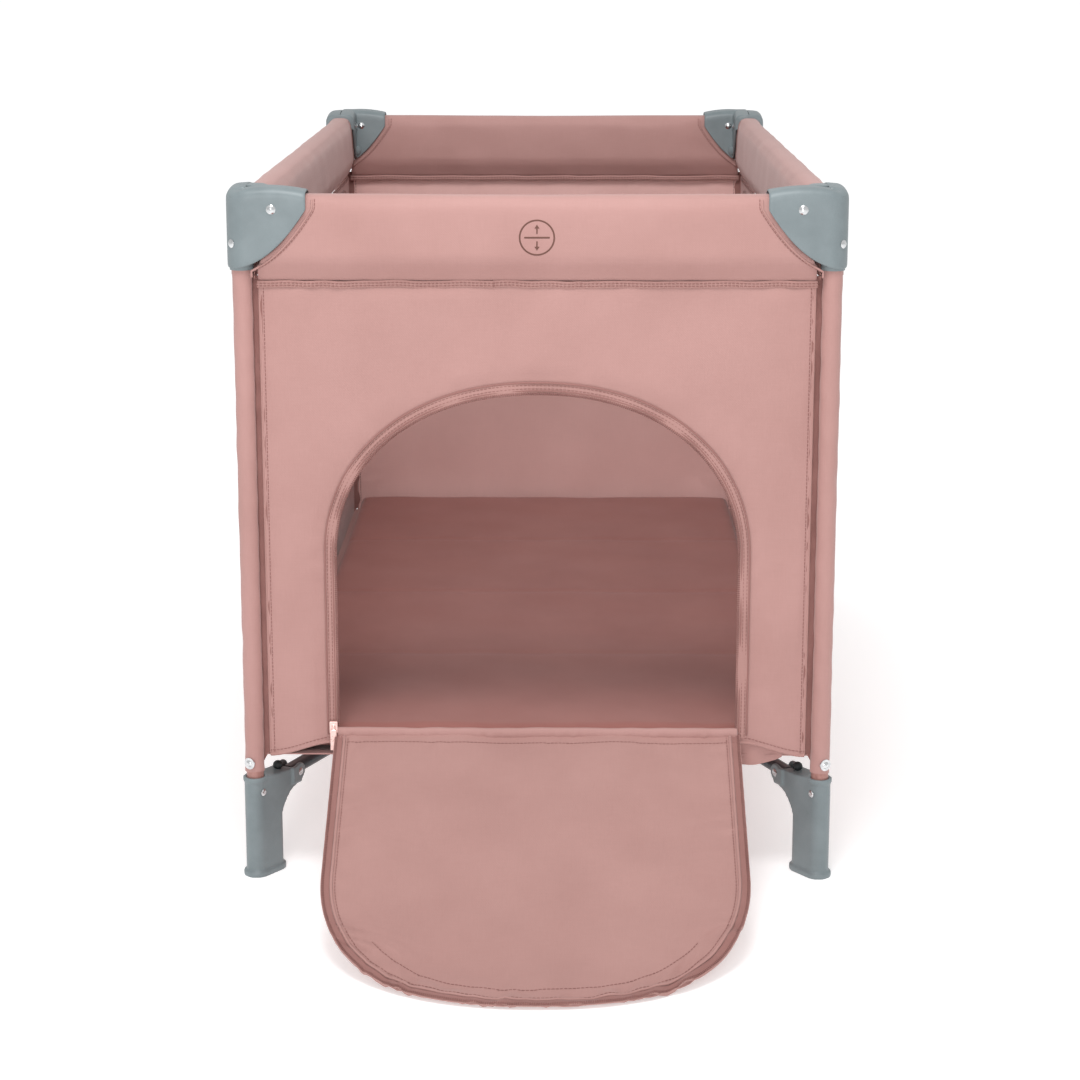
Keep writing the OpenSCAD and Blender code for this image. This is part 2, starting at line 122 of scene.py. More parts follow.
def many(name, parts):
    """One mesh from several lists of points and faces."""
    verts, faces, n = [], [], 0
    for v, f in parts:
        verts.append(np.asarray(v, float))
        faces += [[i + n for i in face] for face in f]
        n += len(v)
    mesh = bpy.data.meshes.new(name)
    mesh.from_pydata(np.concatenate(verts).tolist(), [], faces)
    return link(name, mesh)


def dress(obj, finish, body, replaces=(), angle=60):
    """Gives a finished piece its material and its body, and hides the CAD nodes it stands for."""
    obj.data.materials.clear()
    obj.data.materials.append(MAT[finish])
    obj.data.shade_smooth()
    obj.data.set_sharp_from_angle(angle=math.radians(angle))
    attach(obj, body)
    if replaces:
        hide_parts(*replaces)
    return obj


def sewn(cloth_name, cloth_parts, thread_name, thread_parts, body):
    """The piping and the stitches of a sewn piece."""
    return [dress(many(cloth_name, cloth_parts), "binding", body),
            dress(many(thread_name, thread_parts), "thread", body)]


def squash_all(pieces):
    for piece in pieces:
        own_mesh(piece)


def apply_modifiers(obj):
    dg = bpy.context.evaluated_depsgraph_get()
    mesh = bpy.data.meshes.new_from_object(obj.evaluated_get(dg))
    obj.modifiers.clear()
    obj.data = mesh


def grid3(x, y, z):
    """Points from three coordinates, each a number or an array."""
    return np.stack(np.broadcast_arrays(x, y, z), -1)


def quads(rows, cols, offset=0, wrap=False, flip=False):
    """Faces of a grid of points stored row by row."""
    faces = []
    for i in range(rows - 1):
        for j in range(cols if wrap else cols - 1):
            k = (j + 1) % cols
            face = [offset + i * cols + j, offset + i * cols + k,
                    offset + (i + 1) * cols + k, offset + (i + 1) * cols + j]
            faces.append(face[::-1] if flip else face)
    return faces


def two_faced(front, back):
    """Points and faces of a strip of cloth between two grids of points, rows across it."""
    rows, cols = front.shape[:2]
    n = rows * cols
    faces = quads(rows, cols) + quads(rows, cols, n, flip=True)
    for i in range(rows - 1):
        a, b = i * cols, (i + 1) * cols
        faces += [[a, b, b + n, a + n], [b + cols - 1, a + cols - 1, a + cols - 1 + n, b + cols - 1 + n]]
    for j in range(cols - 1):
        a = (rows - 1) * cols + j
        faces += [[j + 1, j, j + n, j + 1 + n], [a, a + 1, a + 1 + n, a + n]]
    return np.concatenate([front.reshape(-1, 3), back.reshape(-1, 3)]), faces


def slab(name, front, back):
    """A closed thin solid between two grids of points."""
    rows, cols = front.shape[:2]
    verts = np.concatenate([front.reshape(-1, 3), back.reshape(-1, 3)])
    n = rows * cols
    faces = quads(rows, cols) + quads(rows, cols, n, flip=True)
    rim = ([(0, j) for j in range(cols)] + [(i, cols - 1) for i in range(1, rows)]
           + [(rows - 1, j) for j in range(cols - 2, -1, -1)] + [(i, 0) for i in range(rows - 2, 0, -1)])
    ids = [i * cols + j for i, j in rim]
    for a, b in zip(ids, ids[1:] + ids[:1]):
        faces.append([a, b, b + n, a + n])
    return make(name, verts, faces)


def shell_pipe(outer, inner):
    """Points and faces of a closed tube wall between two stacks of rings."""
    outer, inner = np.asarray(outer), np.asarray(inner)
    rows, cols = outer.shape[:2]
    n = rows * cols
    faces = quads(rows, cols, wrap=True) + quads(rows, cols, n, wrap=True, flip=True)
    top = n - cols
    for j in range(cols):
        k = (j + 1) % cols
        faces += [[j, k, k + n, j + n], [top + k, top + j, top + j + n, top + k + n]]
    return np.concatenate([outer.reshape(-1, 3), inner.reshape(-1, 3)]), faces


def capped(rings, first, last):
    """Points and faces of a stack of rings, closed by a fan of triangles at each end."""
    rows, cols = rings.shape[:2]
    n = rows * cols
    faces = quads(rows, cols, wrap=True)
    for j in range(cols):
        k = (j + 1) % cols
        faces += [[k, j, n], [n - cols + j, n - cols + k, n + 1]]
    return np.concatenate([rings.reshape(-1, 3), first[None], last[None]]), faces


def loft(name, rings):
    """A closed solid through rings of points."""
    rings = np.asarray(rings)
    return make(name, *capped(rings, rings[0].mean(0), rings[-1].mean(0)))


def tangents(path):
    t = np.gradient(path, axis=0)
    return t / np.maximum(np.linalg.norm(t, axis=1, keepdims=True), 1e-12)


def run_along(path):
    """Length of the way from the path's first point to each of its points."""
    return np.concatenate([[0], np.cumsum(np.linalg.norm(np.diff(path, axis=0), axis=1))])


def resample(path, step):
    path = np.asarray(path, float)
    run = run_along(path)
    at = np.linspace(0, run[-1], max(2, int(round(run[-1] / step)) + 1))
    return np.stack([np.interp(at, run, path[:, k]) for k in range(3)], 1)


def tube_mesh(path, rx, ry, up, sides=10):
    """Points and faces of a cord of oval section along a path; up is the section's second axis."""
    path = np.asarray(path, float)
    t = tangents(path)
    side = np.cross(t, np.broadcast_to(np.asarray(up, float), path.shape))
    side /= np.maximum(np.linalg.norm(side, axis=1, keepdims=True), 1e-12)
    upn = np.cross(side, t)
    a = np.arange(sides) * 2 * math.pi / sides
    rings = (path[:, None] + rx * np.cos(a)[None, :, None] * side[:, None]
             + ry * np.sin(a)[None, :, None] * upn[:, None])
    return capped(rings, path[0] - t[0] * rx * 0.5, path[-1] + t[-1] * rx * 0.5)


def stitches(path, normal, pitch=STITCH_PITCH, length=STITCH_LEN, r=0.33 * MM, across=False):
    """A row of short threads along a path, or across it, as in a zip's teeth."""
    points = resample(path, pitch)
    t = tangents(points)
    normal = np.broadcast_to(np.asarray(normal, float), points.shape)
    if across:
        t = np.cross(t, normal)
        t /= np.linalg.norm(t, axis=1, keepdims=True)
    bow = ((-0.5, 0.1), (-0.25, 0.9), (0.25, 0.9), (0.5, 0.1))
    return [tube_mesh([p + d * length * s + n * r * h for s, h in bow], r * 1.25, r, n, sides=6)
            for p, d, n in zip(points, t, normal)]


def teeth_row(path, normal):
    return stitches(path, normal, 2.2 * MM, 2.6 * MM, 0.55 * MM, across=True)


def waves(u, v, seed, scale, count=7):
    """Smooth repeatable noise of about unit height: sines in seeded directions."""
    rng = np.random.default_rng(seed)
    total = np.zeros(np.broadcast(u, v).shape)
    for _ in range(count):
        a, k, p = rng.uniform(0, 2 * math.pi), rng.uniform(0.6, 1.7) / scale, rng.uniform(0, 2 * math.pi)
        total += np.sin(2 * math.pi * k * (u * math.cos(a) + v * math.sin(a)) + p)
    return total / math.sqrt(count)


def puckers(along, away, seed, pitch, depth):
    """Small folds that start at a seam and die out away from it."""
    rng = np.random.default_rng(seed)
    total = np.zeros(np.broadcast(along, away).shape)
    for k in (1.0, 1.37, 0.73, 1.91):
        drift = rng.uniform(-0.6, 0.6)
        total += np.sin(2 * math.pi * k / pitch * (along + drift * away) + rng.uniform(0, 6.3)) / k
    swell = 0.55 + 0.45 * np.sin(2 * math.pi * along / (pitch * 6.1) + rng.uniform(0, 6.3))
    return total * 0.5 * swell * np.exp(-np.maximum(away, 0) / depth)


def ramp(x, a, b):
    t = np.clip((x - a) / (b - a), 0, 1)
    return t * t * (3 - 2 * t)


def seam_folds(height, along, away, seed, pitch, depth):
    """Puckers that leave the seam itself flat."""
    return height * MM * puckers(along, away, seed, pitch * MM, depth * MM) * ramp(away, 0, 5 * MM)


def points_of(obj):
    co = np.zeros(len(obj.data.vertices) * 3, np.float32)
    obj.data.vertices.foreach_get("co", co)
    return co.reshape(-1, 3).astype(float)


def set_points(obj, co):
    obj.data.vertices.foreach_set("co", np.asarray(co, np.float32).ravel())
    obj.data.update()


def add_remesh(obj, voxel):
    remesh = obj.modifiers.new("remesh", "REMESH")
    remesh.mode = "VOXEL"
    remesh.voxel_size = voxel


def inflate(obj, voxel, pressure, cap, hold):
    """Swells a closed mesh as padded cloth. hold gives each point a share of the movement, from 0 to 1."""
    add_remesh(obj, voxel)
    apply_modifiers(obj)
    start = points_of(obj)
    sim = obj.modifiers.new("cloth", "CLOTH")
    sim.settings.use_pressure = True
    sim.settings.uniform_pressure_force = pressure
    sim.settings.effector_weights.gravity = 0
    sim.settings.quality = 4
    scene = bpy.context.scene
    for f in range(1, 19):
        scene.frame_set(f)
    dg = bpy.context.evaluated_depsgraph_get()
    moved = points_of(obj.evaluated_get(dg))
    obj.modifiers.clear()
    scene.frame_set(1)
    step = moved - start
    length = np.maximum(np.linalg.norm(step, axis=1, keepdims=True), 1e-9)
    start = start + step * np.minimum(1, cap / length) * hold(start)[:, None]
    set_points(obj, start)
    return obj


def cut_out(obj, name, planes):
    """A copy of obj inside every plane (point, outward normal), with its cut ends closed."""
    bm = bmesh.new()
    bm.from_mesh(obj.data)
    for point, normal in planes:
        geom = bm.verts[:] + bm.edges[:] + bm.faces[:]
        done = bmesh.ops.bisect_plane(bm, geom=geom, plane_co=point, plane_no=normal, clear_outer=True)
        edges = [e for e in done["geom_cut"] if isinstance(e, bmesh.types.BMEdge)]
        bmesh.ops.contextual_create(bm, geom=edges)
    mesh = bpy.data.meshes.new(name)
    bm.to_mesh(mesh)
    bm.free()
    return link(name, mesh)


def tree_of(obj):
    bm = bmesh.new()
    bm.from_mesh(obj.data)
    tree = BVHTree.FromBMesh(bm)
    bm.free()
    return tree


def lay_on(tree, points, toward, lift):
    """Moves points along toward until they lie lift above a surface."""
    toward = Vector(toward).normalized()
    out = []
    for p in points:
        hit = tree.ray_cast(Vector(p) - toward * 0.08, toward)[0]
        out.append(np.array(hit if hit is not None else Vector(p)) - np.array(toward) * lift)
    return np.array(out)


def moulded(node, name, voxel, rounds):
    """A copy of a CAD solid with its edges rounded, as a mould leaves them."""
    obj = link(name, NODES[node].data.copy())
    add_remesh(obj, voxel)
    soft = obj.modifiers.new("soft", "SMOOTH")
    soft.factor = 0.5
    soft.iterations = rounds
    apply_modifiers(obj)
    return obj


def circle(cx, cy, r, z, n=24):
    a = np.arange(n) * 2 * math.pi / n
    return grid3(cx + r * np.cos(a), cy + r * np.sin(a), z)


# ---------------------------------------------------------------- materials
def srgb(r, g, b):
    return tuple(((c / 255 + 0.055) / 1.055) ** 2.4 for c in (r, g, b)) + (1,)


class Nodes:
    """A short way to write a shader tree."""

    def __init__(self, name, **sockets):
        self.mat = bpy.data.materials.new(name)
        self.mat.use_nodes = True
        self.tree = self.mat.node_tree
        self.bsdf = self.tree.nodes["Principled BSDF"]
        for key, value in sockets.items():
            self.bsdf.inputs[key.replace("_", " ")].default_value = value

    def add(self, kind, **values):
        node = self.tree.nodes.new(kind)
        for key, value in values.items():
            if hasattr(node, key):
                setattr(node, key, value)
            else:
                node.inputs[key].default_value = value
        return node

    def put(self, socket, target):
        if isinstance(socket, (int, float)):
            target.default_value = socket
        else:
            self.tree.links.new(socket, target)

    def math(self, op, a, b=0.0):
        node = self.add("ShaderNodeMath", operation=op)
        self.put(a, node.inputs[0])
        self.put(b, node.inputs[1])
        return node.outputs[0]

    def times(self, a, b):
        return self.math("MULTIPLY", a, b)

    def plus(self, a, b):
        return self.math("ADD", a, b)

    def minus(self, a, b):
        return self.math("SUBTRACT", a, b)

    def ripple(self, h, v, k):
        """A product of sines: the ups and downs of two crossing sets of threads."""
        return self.times(self.math("SINE", self.times(h, k)), self.math("SINE", self.times(v, k)))

    def mix(self, share, a, b):
        """A number between a and b."""
        return self.plus(self.times(a, self.minus(1.0, share)), self.times(b, share))

    def noise(self, vector, scale, detail=3.0, rough=0.5):
        node = self.add("ShaderNodeTexNoise", Scale=scale, Detail=detail, Roughness=rough)
        self.put(vector, node.inputs["Vector"])
        return node.outputs["Fac"]

    def colour(self, share, low, dark, high, light):
        """Base colour that goes from dark to light as share goes from low to high."""
        ramp_node = self.add("ShaderNodeValToRGB")
        first, second = ramp_node.color_ramp.elements
        first.position, first.color = low, srgb(*dark)
        second.position, second.color = high, srgb(*light)
        self.put(share, ramp_node.inputs[0])
        self.put(ramp_node.outputs[0], self.bsdf.inputs["Base Color"])

    def rough(self, start, share, gain):
        self.put(self.plus(start, self.times(share, gain)), self.bsdf.inputs["Roughness"])

    def bump(self, height, strength, distance):
        node = self.add("ShaderNodeBump", Strength=strength, Distance=distance)
        self.put(height, node.inputs["Height"])
        self.put(node.outputs[0], self.bsdf.inputs["Normal"])

    def place(self):
        return self.add("ShaderNodeTexCoord").outputs["Object"]

    def cloth_plane(self):
        """Two coordinates in the cloth's own plane, picked by the face's direction."""
        at = self.add("ShaderNodeTexCoord")
        p = self.add("ShaderNodeSeparateXYZ")
        n = self.add("ShaderNodeSeparateXYZ")
        self.put(at.outputs["Object"], p.inputs[0])
        self.put(at.outputs["Normal"], n.inputs[0])
        nx, ny, nz = (self.math("ABSOLUTE", n.outputs[k]) for k in range(3))
        faces_x = self.math("GREATER_THAN", nx, ny)
        level = self.math("GREATER_THAN", nz, 0.72)
        h = self.mix(level, self.mix(faces_x, p.outputs[0], p.outputs[1]), p.outputs[0])
        v = self.mix(level, p.outputs[2], p.outputs[1])
        return h, v, at.outputs["Object"]

    def stretched(self, h, v, fine, coarse):
        """Noise drawn out into slubs along one thread direction."""
        both = self.add("ShaderNodeCombineXYZ")
        self.put(self.times(h, fine), both.inputs[0])
        self.put(self.times(v, coarse), both.inputs[1])
        return self.noise(both.outputs[0], 1.0, 2.0)


def cloth(name, dark, light, thread=0.9 * MM, weave=0.3, roughness=0.62, sheen=0.2, diagonal=False):
    """Woven polyester: crossing threads, slubs and soft cloudy variation."""
    s = Nodes(name, Roughness=roughness, Sheen_Weight=sheen, Sheen_Roughness=0.45, Specular_IOR_Level=0.3)
    h, v, at = s.cloth_plane()
    if diagonal:
        h, v = s.plus(h, v), s.minus(h, v)
    over = s.ripple(h, v, math.pi / thread)
    slub = s.plus(s.stretched(h, v, 900, 45), s.stretched(h, v, 45, 900))
    cloud = s.noise(at, 9.0, 4.0, 0.6)
    tone = s.plus(s.plus(s.times(slub, 0.14), s.times(cloud, 0.5)), s.times(over, 0.03))
    s.colour(tone, 0.1, dark, 0.7, light)
    s.rough(roughness - 0.08, slub, 0.08)
    s.bump(s.plus(s.times(over, 0.6), s.times(slub, 0.25)), weave, 0.3 * MM)
    return s.mat


def net(name, dark, light, cell=2.3 * MM):
    """Knitted net: threads with small see-through holes."""
    s = Nodes(name, Roughness=0.75, Sheen_Weight=0.15)
    h, v, at = s.cloth_plane()
    hole = s.ripple(s.plus(h, s.times(v, 0.5)), s.minus(v, s.times(h, 0.5)), 2 * math.pi / cell)
    s.colour(s.noise(at, 600.0), 0.3, dark, 0.8, light)
    s.put(s.math("LESS_THAN", hole, 0.35), s.bsdf.inputs["Alpha"])
    s.bump(s.times(hole, -1.0), 0.4, 0.3 * MM)
    return s.mat


def plastic(name, dark, light, roughness=0.42, grain=0.12):
    """Moulded plastic with a fine spark-eroded grain and faint flow marks."""
    s = Nodes(name, Roughness=roughness, Specular_IOR_Level=0.45)
    at = s.place()
    fine, cloud = s.noise(at, 1500.0, 2.0), s.noise(at, 22.0, 4.0, 0.6)
    s.colour(s.plus(s.times(fine, 0.3), s.times(cloud, 0.7)), 0.3, dark, 0.7, light)
    s.rough(roughness - 0.1, cloud, 0.2)
    s.bump(fine, grain, 0.12 * MM)
    return s.mat


def metal(name, dark, light, roughness=0.3, metallic=1.0, scratch=0.06, coat=0.0):
    """Plated or powder coated metal with fine rub marks."""
    s = Nodes(name, Metallic=metallic, Coat_Weight=coat, Coat_Roughness=0.2)
    at = s.place()
    rub, orange = s.noise(at, 180.0, 5.0, 0.7), s.noise(at, 900.0, 2.0)
    s.colour(rub, 0.3, dark, 0.75, light)
    s.rough(roughness - 0.07, rub, 0.15)
    s.bump(orange, scratch, 0.1 * MM)
    return s.mat


# Finishes, each with its darkest and lightest tone as 8-bit sRGB
MAT = {
    "cover": cloth("cover_cloth", (165, 124, 118), (186, 144, 139)),
    # inside: a much lighter copy of the cover cloth, painted light on the inner face of the rear wall
    "inside": cloth("inside_cloth", (218, 174, 168), (238, 194, 188)),
    # flap: the cover cloth made slightly darker, painted shade on the sloping door flap
    "flap": cloth("flap_cloth", (160, 119, 113), (180, 139, 133)),
    # mattress: darker and redder than the cover cloth, painted shade and bounced light of the cot's inside
    "mattress": cloth("mattress_cloth", (142, 85, 78), (168, 112, 104), thread=1.1 * MM, sheen=0.25),
    # tape: the darker tape cloth; where it dresses the gussets and the fold under the door's hem it is
    # painted shade
    "tape": cloth("tape_cloth", (138, 94, 88), (162, 118, 112), 0.7 * MM, diagonal=True, weave=0.5),
    "binding": cloth("binding_cloth", (162, 120, 114), (185, 143, 137), 0.7 * MM, weave=0.5),
    "thread": cloth("thread", (130, 86, 80), (156, 112, 106), 0.5 * MM, roughness=0.65),
    "teeth": plastic("zip_teeth", (118, 74, 68), (146, 102, 96), roughness=0.38),
    "net": net("side_net", (34, 42, 54), (66, 76, 92)),
    "webbing": cloth("webbing", (120, 24, 26), (168, 48, 46), 1.4 * MM, weave=0.7),
    "grey": plastic("grey_plastic", (107, 117, 120), (126, 136, 139)),
    "dark": plastic("dark_plastic", (58, 64, 66), (78, 84, 86)),
    "button": plastic("button_plastic", (168, 170, 170), (190, 192, 192)),
    "rubber": plastic("stop_rubber", (22, 28, 30), (40, 47, 49), roughness=0.6),
    "slate": metal("slate_coating", (40, 50, 55), (62, 74, 80), 0.34, metallic=0.35, coat=0.25),
    "pink_steel": metal("pink_coating", (158, 112, 104), (180, 134, 126), 0.36, metallic=0.2),
    "screw": metal("bright_zinc", (188, 190, 192), (232, 233, 234), 0.2),
    "slider": metal("zip_slider_metal", (226, 184, 176), (246, 214, 208), 0.28, metallic=0.7),
    "print": cloth("print_ink", (92, 60, 52), (116, 80, 70), roughness=0.6, sheen=0.1, weave=0.25),
}


def paint(node, finish):
    """Gives a CAD node, which stays as it is, a finished material."""
    obj = NODES[node]
    if not obj.material_slots:
        obj.data.materials.append(MAT[finish])
    for s in obj.material_slots:
        s.material = MAT[finish]


# ---------------------------------------------------------------- castings, feet and legs
CAST_R = OUT_X - CORNER_X
CAST_REACH = casting_hi.x - casting_lo.x
LEAF_H = RAIL_Z - casting_lo.z
LEAF_POWER = 2.15
CROWN = 46 * MM
CROWN_DROP = 6.5 * MM
SHOULDER = 10 * MM
CAST_WALL = 2.6 * MM
BOLT_Z = COT_H - 59 * MM
COVER_LOW = 121 * MM
ARM_WAY = (0.593, 0.805)  # plan direction of the floor arms, from a leg to the hub
STOP_PROFILE = [(3.6, -4), (3.6, 1), (5.2, 2), (5.6, 4.5), (4.8, 7), (2.8, 8.8), (0.6, 9.4)]


def wing_top(d):
    return COT_H - CROWN_DROP * ((d - CROWN) / CROWN) ** 2


def leaf_low(d):
    return RAIL_Z - LEAF_H * (1 - (d / CAST_REACH) ** LEAF_POWER)


def casting_columns():
    """Plan outline of the casting round the corner and back: each point, its spine point and its reach."""
    cols = []
    for d in np.linspace(CAST_REACH, CAST_R, 16):
        cols.append((CAST_R - d, CAST_R, CAST_R - d, 0, d))
    for a in np.radians(np.linspace(90, 0, 13)[1:-1]):
        cols.append((CAST_R * math.cos(a), CAST_R * math.sin(a), 0, 0, CAST_R * (1 - 0.6 * math.sin(2 * a))))
    for d in np.linspace(CAST_R, CAST_REACH, 16):
        cols.append((CAST_R, CAST_R - d, 0, CAST_R - d, d))
    inner = CAST_REACH - 2 * CAST_R
    for d in np.linspace(CAST_REACH, 2 * CAST_R, 12):
        cols.append((-CAST_R, CAST_R - d, 0, (CAST_R - CAST_REACH) * (d - 2 * CAST_R) / inner, d))
    for d in np.linspace(2 * CAST_R, CAST_REACH, 12)[1:]:
        cols.append((CAST_R - d, -CAST_R, (CAST_R - CAST_REACH) * (d - 2 * CAST_R) / inner, 0, d))
    return cols


def casting_shell(sx, sy):
    """The casting's moulded skin; its columns rise from the wing's lower edge and roll over its shoulder."""
    grid = []
    for px, py, mx, my, d in casting_columns():
        top, low = wing_top(d), leaf_low(d)
        rows = [(0, low + f * (top - SHOULDER - low)) for f in (0, 0.05, 0.2, 0.4, 0.6, 0.8, 1)]
        rows += [(SHOULDER * (1 - math.cos(a)), top - SHOULDER * (1 - math.sin(a)))
                 for a in np.radians((18, 36, 54, 72, 90))]
        rows += [(SHOULDER + (CAST_R - SHOULDER) * f, top + 0.8 * MM * f) for f in (0.4, 0.75, 1)]
        grid.append([(sx * (CORNER_X + px + (mx - px) * o / CAST_R),
                      sy * (CORNER_Y + py + (my - py) * o / CAST_R), z) for o, z in rows])
    grid = np.array(grid)
    obj = make("casting_shell", grid.reshape(-1, 3), quads(*grid.shape[:2]))
    wall = obj.modifiers.new("wall", "SOLIDIFY")
    wall.thickness = CAST_WALL
    wall.offset = -1
    obj.modifiers.new("round", "SUBSURF").levels = 1
    apply_modifiers(obj)
    found = points_of(obj), [list(p.vertices) for p in obj.data.polygons]
    bpy.data.objects.remove(obj)
    return found


def casting(key):
    sx, sy = SIGNS[key]
    levels = np.linspace(casting_lo.z - 1 * MM, COT_H - SHOULDER, 6)
    collar = shell_pipe(*([circle(sx * LEG_X, sy * LEG_Y, LEG_R + gap, z) for z in levels]
                          for gap in (3.2 * MM, 1.0 * MM)))
    inward = np.array([-sx, -sy, 0]) / math.sqrt(2)
    axis = np.array([sx * CORNER_X, sy * CORNER_Y, BOLT_Z])
    boss = tube_mesh([axis + inward * r for r in np.array([24, 28, 32, 34.1]) * MM], 6.4 * MM, 6.4 * MM,
                     (0, 0, 1), sides=20)
    whole = many("casting_" + key, [casting_shell(sx, sy), collar, boss])
    dress(whole, "grey", "post_" + key, ["corner_" + key], angle=50)


def foot(key):
    sx, sy = SIGNS[key]
    shell = moulded("foot_" + key, "foot_shell_" + key, 1.2 * MM, 4)
    dress(shell, "grey", "post_" + key, ["foot_" + key])
    x, y = sx * (LEG_X - ARM_WAY[0] * 36 * MM), sy * (LEG_Y - ARM_WAY[1] * 36 * MM)
    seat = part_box("foot_" + key)[1].z - 3 * MM
    rings = [circle(x, y, r * MM, seat + z * MM, 20) for r, z in STOP_PROFILE]
    dress(loft("rubber_stop_" + key, rings), "rubber", "post_" + key)


def leg_cover(key):
    """The fabric sleeve of a leg."""
    sx, sy = SIGNS[key]
    seed = 40 + list(SIGNS).index(key)
    levels = np.linspace(COVER_LOW, casting_lo.z + 20 * MM, 110)
    a = np.arange(28) * 2 * math.pi / 28
    outer, inner = [], []
    for z in levels:
        end = math.exp(-(z - levels[0]) / (25 * MM))
        r = (LEG_R + 0.9 * MM + 0.25 * MM * waves(a * 10 * MM, z, seed, 45 * MM)
             + (0.5 + 1.2 * end) * 0.35 * MM * np.sin(3 * a + z * 160 + seed))
        for stack, radius in ((outer, r), (inner, LEG_R + 0.15 * MM)):
            stack.append(grid3(sx * LEG_X + radius * np.cos(a), sy * LEG_Y + radius * np.sin(a), z))
    cover = make("leg_cover_" + key, *shell_pipe(outer, inner))
    dress(cover, "cover", "post_" + key)


def gusset(key):
    """The recessed strip that joins a leg's sleeve to the two walls beside it."""
    sx, sy = SIGNS[key]
    seed = 49 + list(SIGNS).index(key)
    plan = np.array([(WALL_X - 3 * MM, WALL_Y + 0.6 * MM), (WALL_X + 4 * MM, WALL_Y - 3 * MM),
                     (LEG_X - 6.3 * MM, LEG_Y - 6.3 * MM), (side_hi.x + 0.5 * MM, side_hi.y + 4 * MM),
                     (side_hi.x - 1.6 * MM, side_hi.y - 3 * MM)])
    t = np.linspace(0, 4, 25)
    line = np.stack([np.interp(t, range(5), plan[:, k]) for k in (0, 1)], 1)
    out = np.gradient(line, axis=0)
    out = np.stack([out[:, 1], -out[:, 0]], 1) / np.linalg.norm(out, axis=1, keepdims=True)
    dip = 16 * MM * np.exp(-((t - 2) / 0.9) ** 2)
    low, high = WALL_LOW + 2 * MM - dip, sleeve_lo.z + 6 * MM
    z = low[None] + np.linspace(0, 1, 90)[:, None] * (high - low)[None]
    fold = 0.5 * MM * waves(z, t[None] * 5 * MM, seed, 30 * MM)
    grids = [grid3(sx * (line[:, 0] - (side * 0.5 * MM + fold) * out[:, 0]),
                   sy * (line[:, 1] - (side * 0.5 * MM + fold) * out[:, 1]), z) for side in (1, -1)]
    # The gusset is dressed in the darker tape cloth: painted shade of the gap between the leg's sleeve and
    # the walls.
    strip = dress(slab("gusset_" + key, *grids), "tape", "post_" + key)


for corner in SIGNS:
    casting(corner)
    foot(corner)
    leg_cover(corner)
    gusset(corner)


# ---------------------------------------------------------------- rail sleeves
# Each rail: middle, direction along it, outward direction, half length, and its two half rails
RAILS = {
    "front": ((0, -CORNER_Y), (1, 0), (0, -1), CORNER_X, ("front_l", "front_r")),
    "rear": ((0, CORNER_Y), (1, 0), (0, 1), CORNER_X, ("rear_l", "rear_r")),
    "left": ((-CORNER_X, 0), (0, 1), (-1, 0), CORNER_Y, ("left_f", "left_r")),
    "right": ((CORNER_X, 0), (0, 1), (1, 0), CORNER_Y, ("right_f", "right_r")),
}
SLEEVE_LOW = sleeve_lo.z
SLEEVE_TOP = sleeve_hi.z
SLEEVE_MID = (SLEEVE_LOW + SLEEVE_TOP) / 2
SLEEVE_HIGH = (SLEEVE_TOP - SLEEVE_LOW) / 2
SLEEVE_HALF = (sleeve_hi.y - sleeve_lo.y) / 2
SLEEVE_POWER = 4.2
SEAM_BAND = 7.5 * MM
SEAM_PLANE = 5.9 * MM
WELT_OFF = 6 * MM


def on_rail(rail, u, v, z):
    """Row-frame points from a place along a rail, outwards from it, and a height."""
    (cx, cy), along, out = RAILS[rail][:3]
    return grid3(cx + u * along[0] + v * out[0], cy + u * along[1] + v * out[1], z)


def sleeve_half_width(z):
    share = (z - SLEEVE_MID) / SLEEVE_HIGH
    width = SLEEVE_HALF * np.maximum(0, 1 - np.abs(share) ** SLEEVE_POWER) ** (1 / SLEEVE_POWER)
    return width * (1 - 0.45 * ramp(-share, 0.35, 1.0))


def sleeve_mesh(rail, seed):
    half = RAILS[rail][3]
    a = np.radians(np.arange(0, 360, 7.5) - 90)
    z = SLEEVE_MID + SLEEVE_HIGH * np.sign(np.sin(a)) * np.abs(np.sin(a)) ** (2 / SLEEVE_POWER)
    side = np.sign(np.cos(a)) * (np.abs(np.cos(a)) > 1e-6)
    end = half - 9 * MM - 34 * MM * ramp(z, SLEEVE_LOW + 12 * MM, SLEEVE_LOW + 52 * MM)
    width = sleeve_half_width(z)
    rings = []
    for k in np.linspace(-1, 1, int(half / (3 * MM))):
        u = k * end
        left = end - np.abs(u)
        free = ramp(left, 0, 90 * MM)
        gathers = puckers(z, left, seed + 1 + (k > 0), 26 * MM, 55 * MM) * ramp(left, 0, 30 * MM)
        swell = (0.8 * MM * free * np.sin(math.pi * (z - SLEEVE_LOW) / (SLEEVE_TOP - SLEEVE_LOW))
                 + 0.4 * MM * waves(u, z * 1.6 + side * 0.2, seed, 120 * MM) * free
                 + 0.7 * MM * gathers
                 + 0.35 * MM * puckers(u, z - SLEEVE_LOW, seed + 3, 17 * MM, 12 * MM))
        rings.append(on_rail(rail, u, side * (width + swell * ramp(width, 0, 12 * MM)), z))
    return loft("sleeve_whole_" + rail, rings)


def sleeve_hold(rail):
    """How far each point of a sleeve may swell: nowhere at the seam or inside the castings."""
    (cx, cy), along, _, half, _ = RAILS[rail]

    def hold(co):
        u = np.abs((co[:, 0] - cx) * along[0] + (co[:, 1] - cy) * along[1])
        above = ramp(co[:, 2], SLEEVE_LOW + 3 * MM, SLEEVE_LOW + 22 * MM)
        return ramp(half - 62 * MM - u, 0, 60 * MM) * above
    return hold


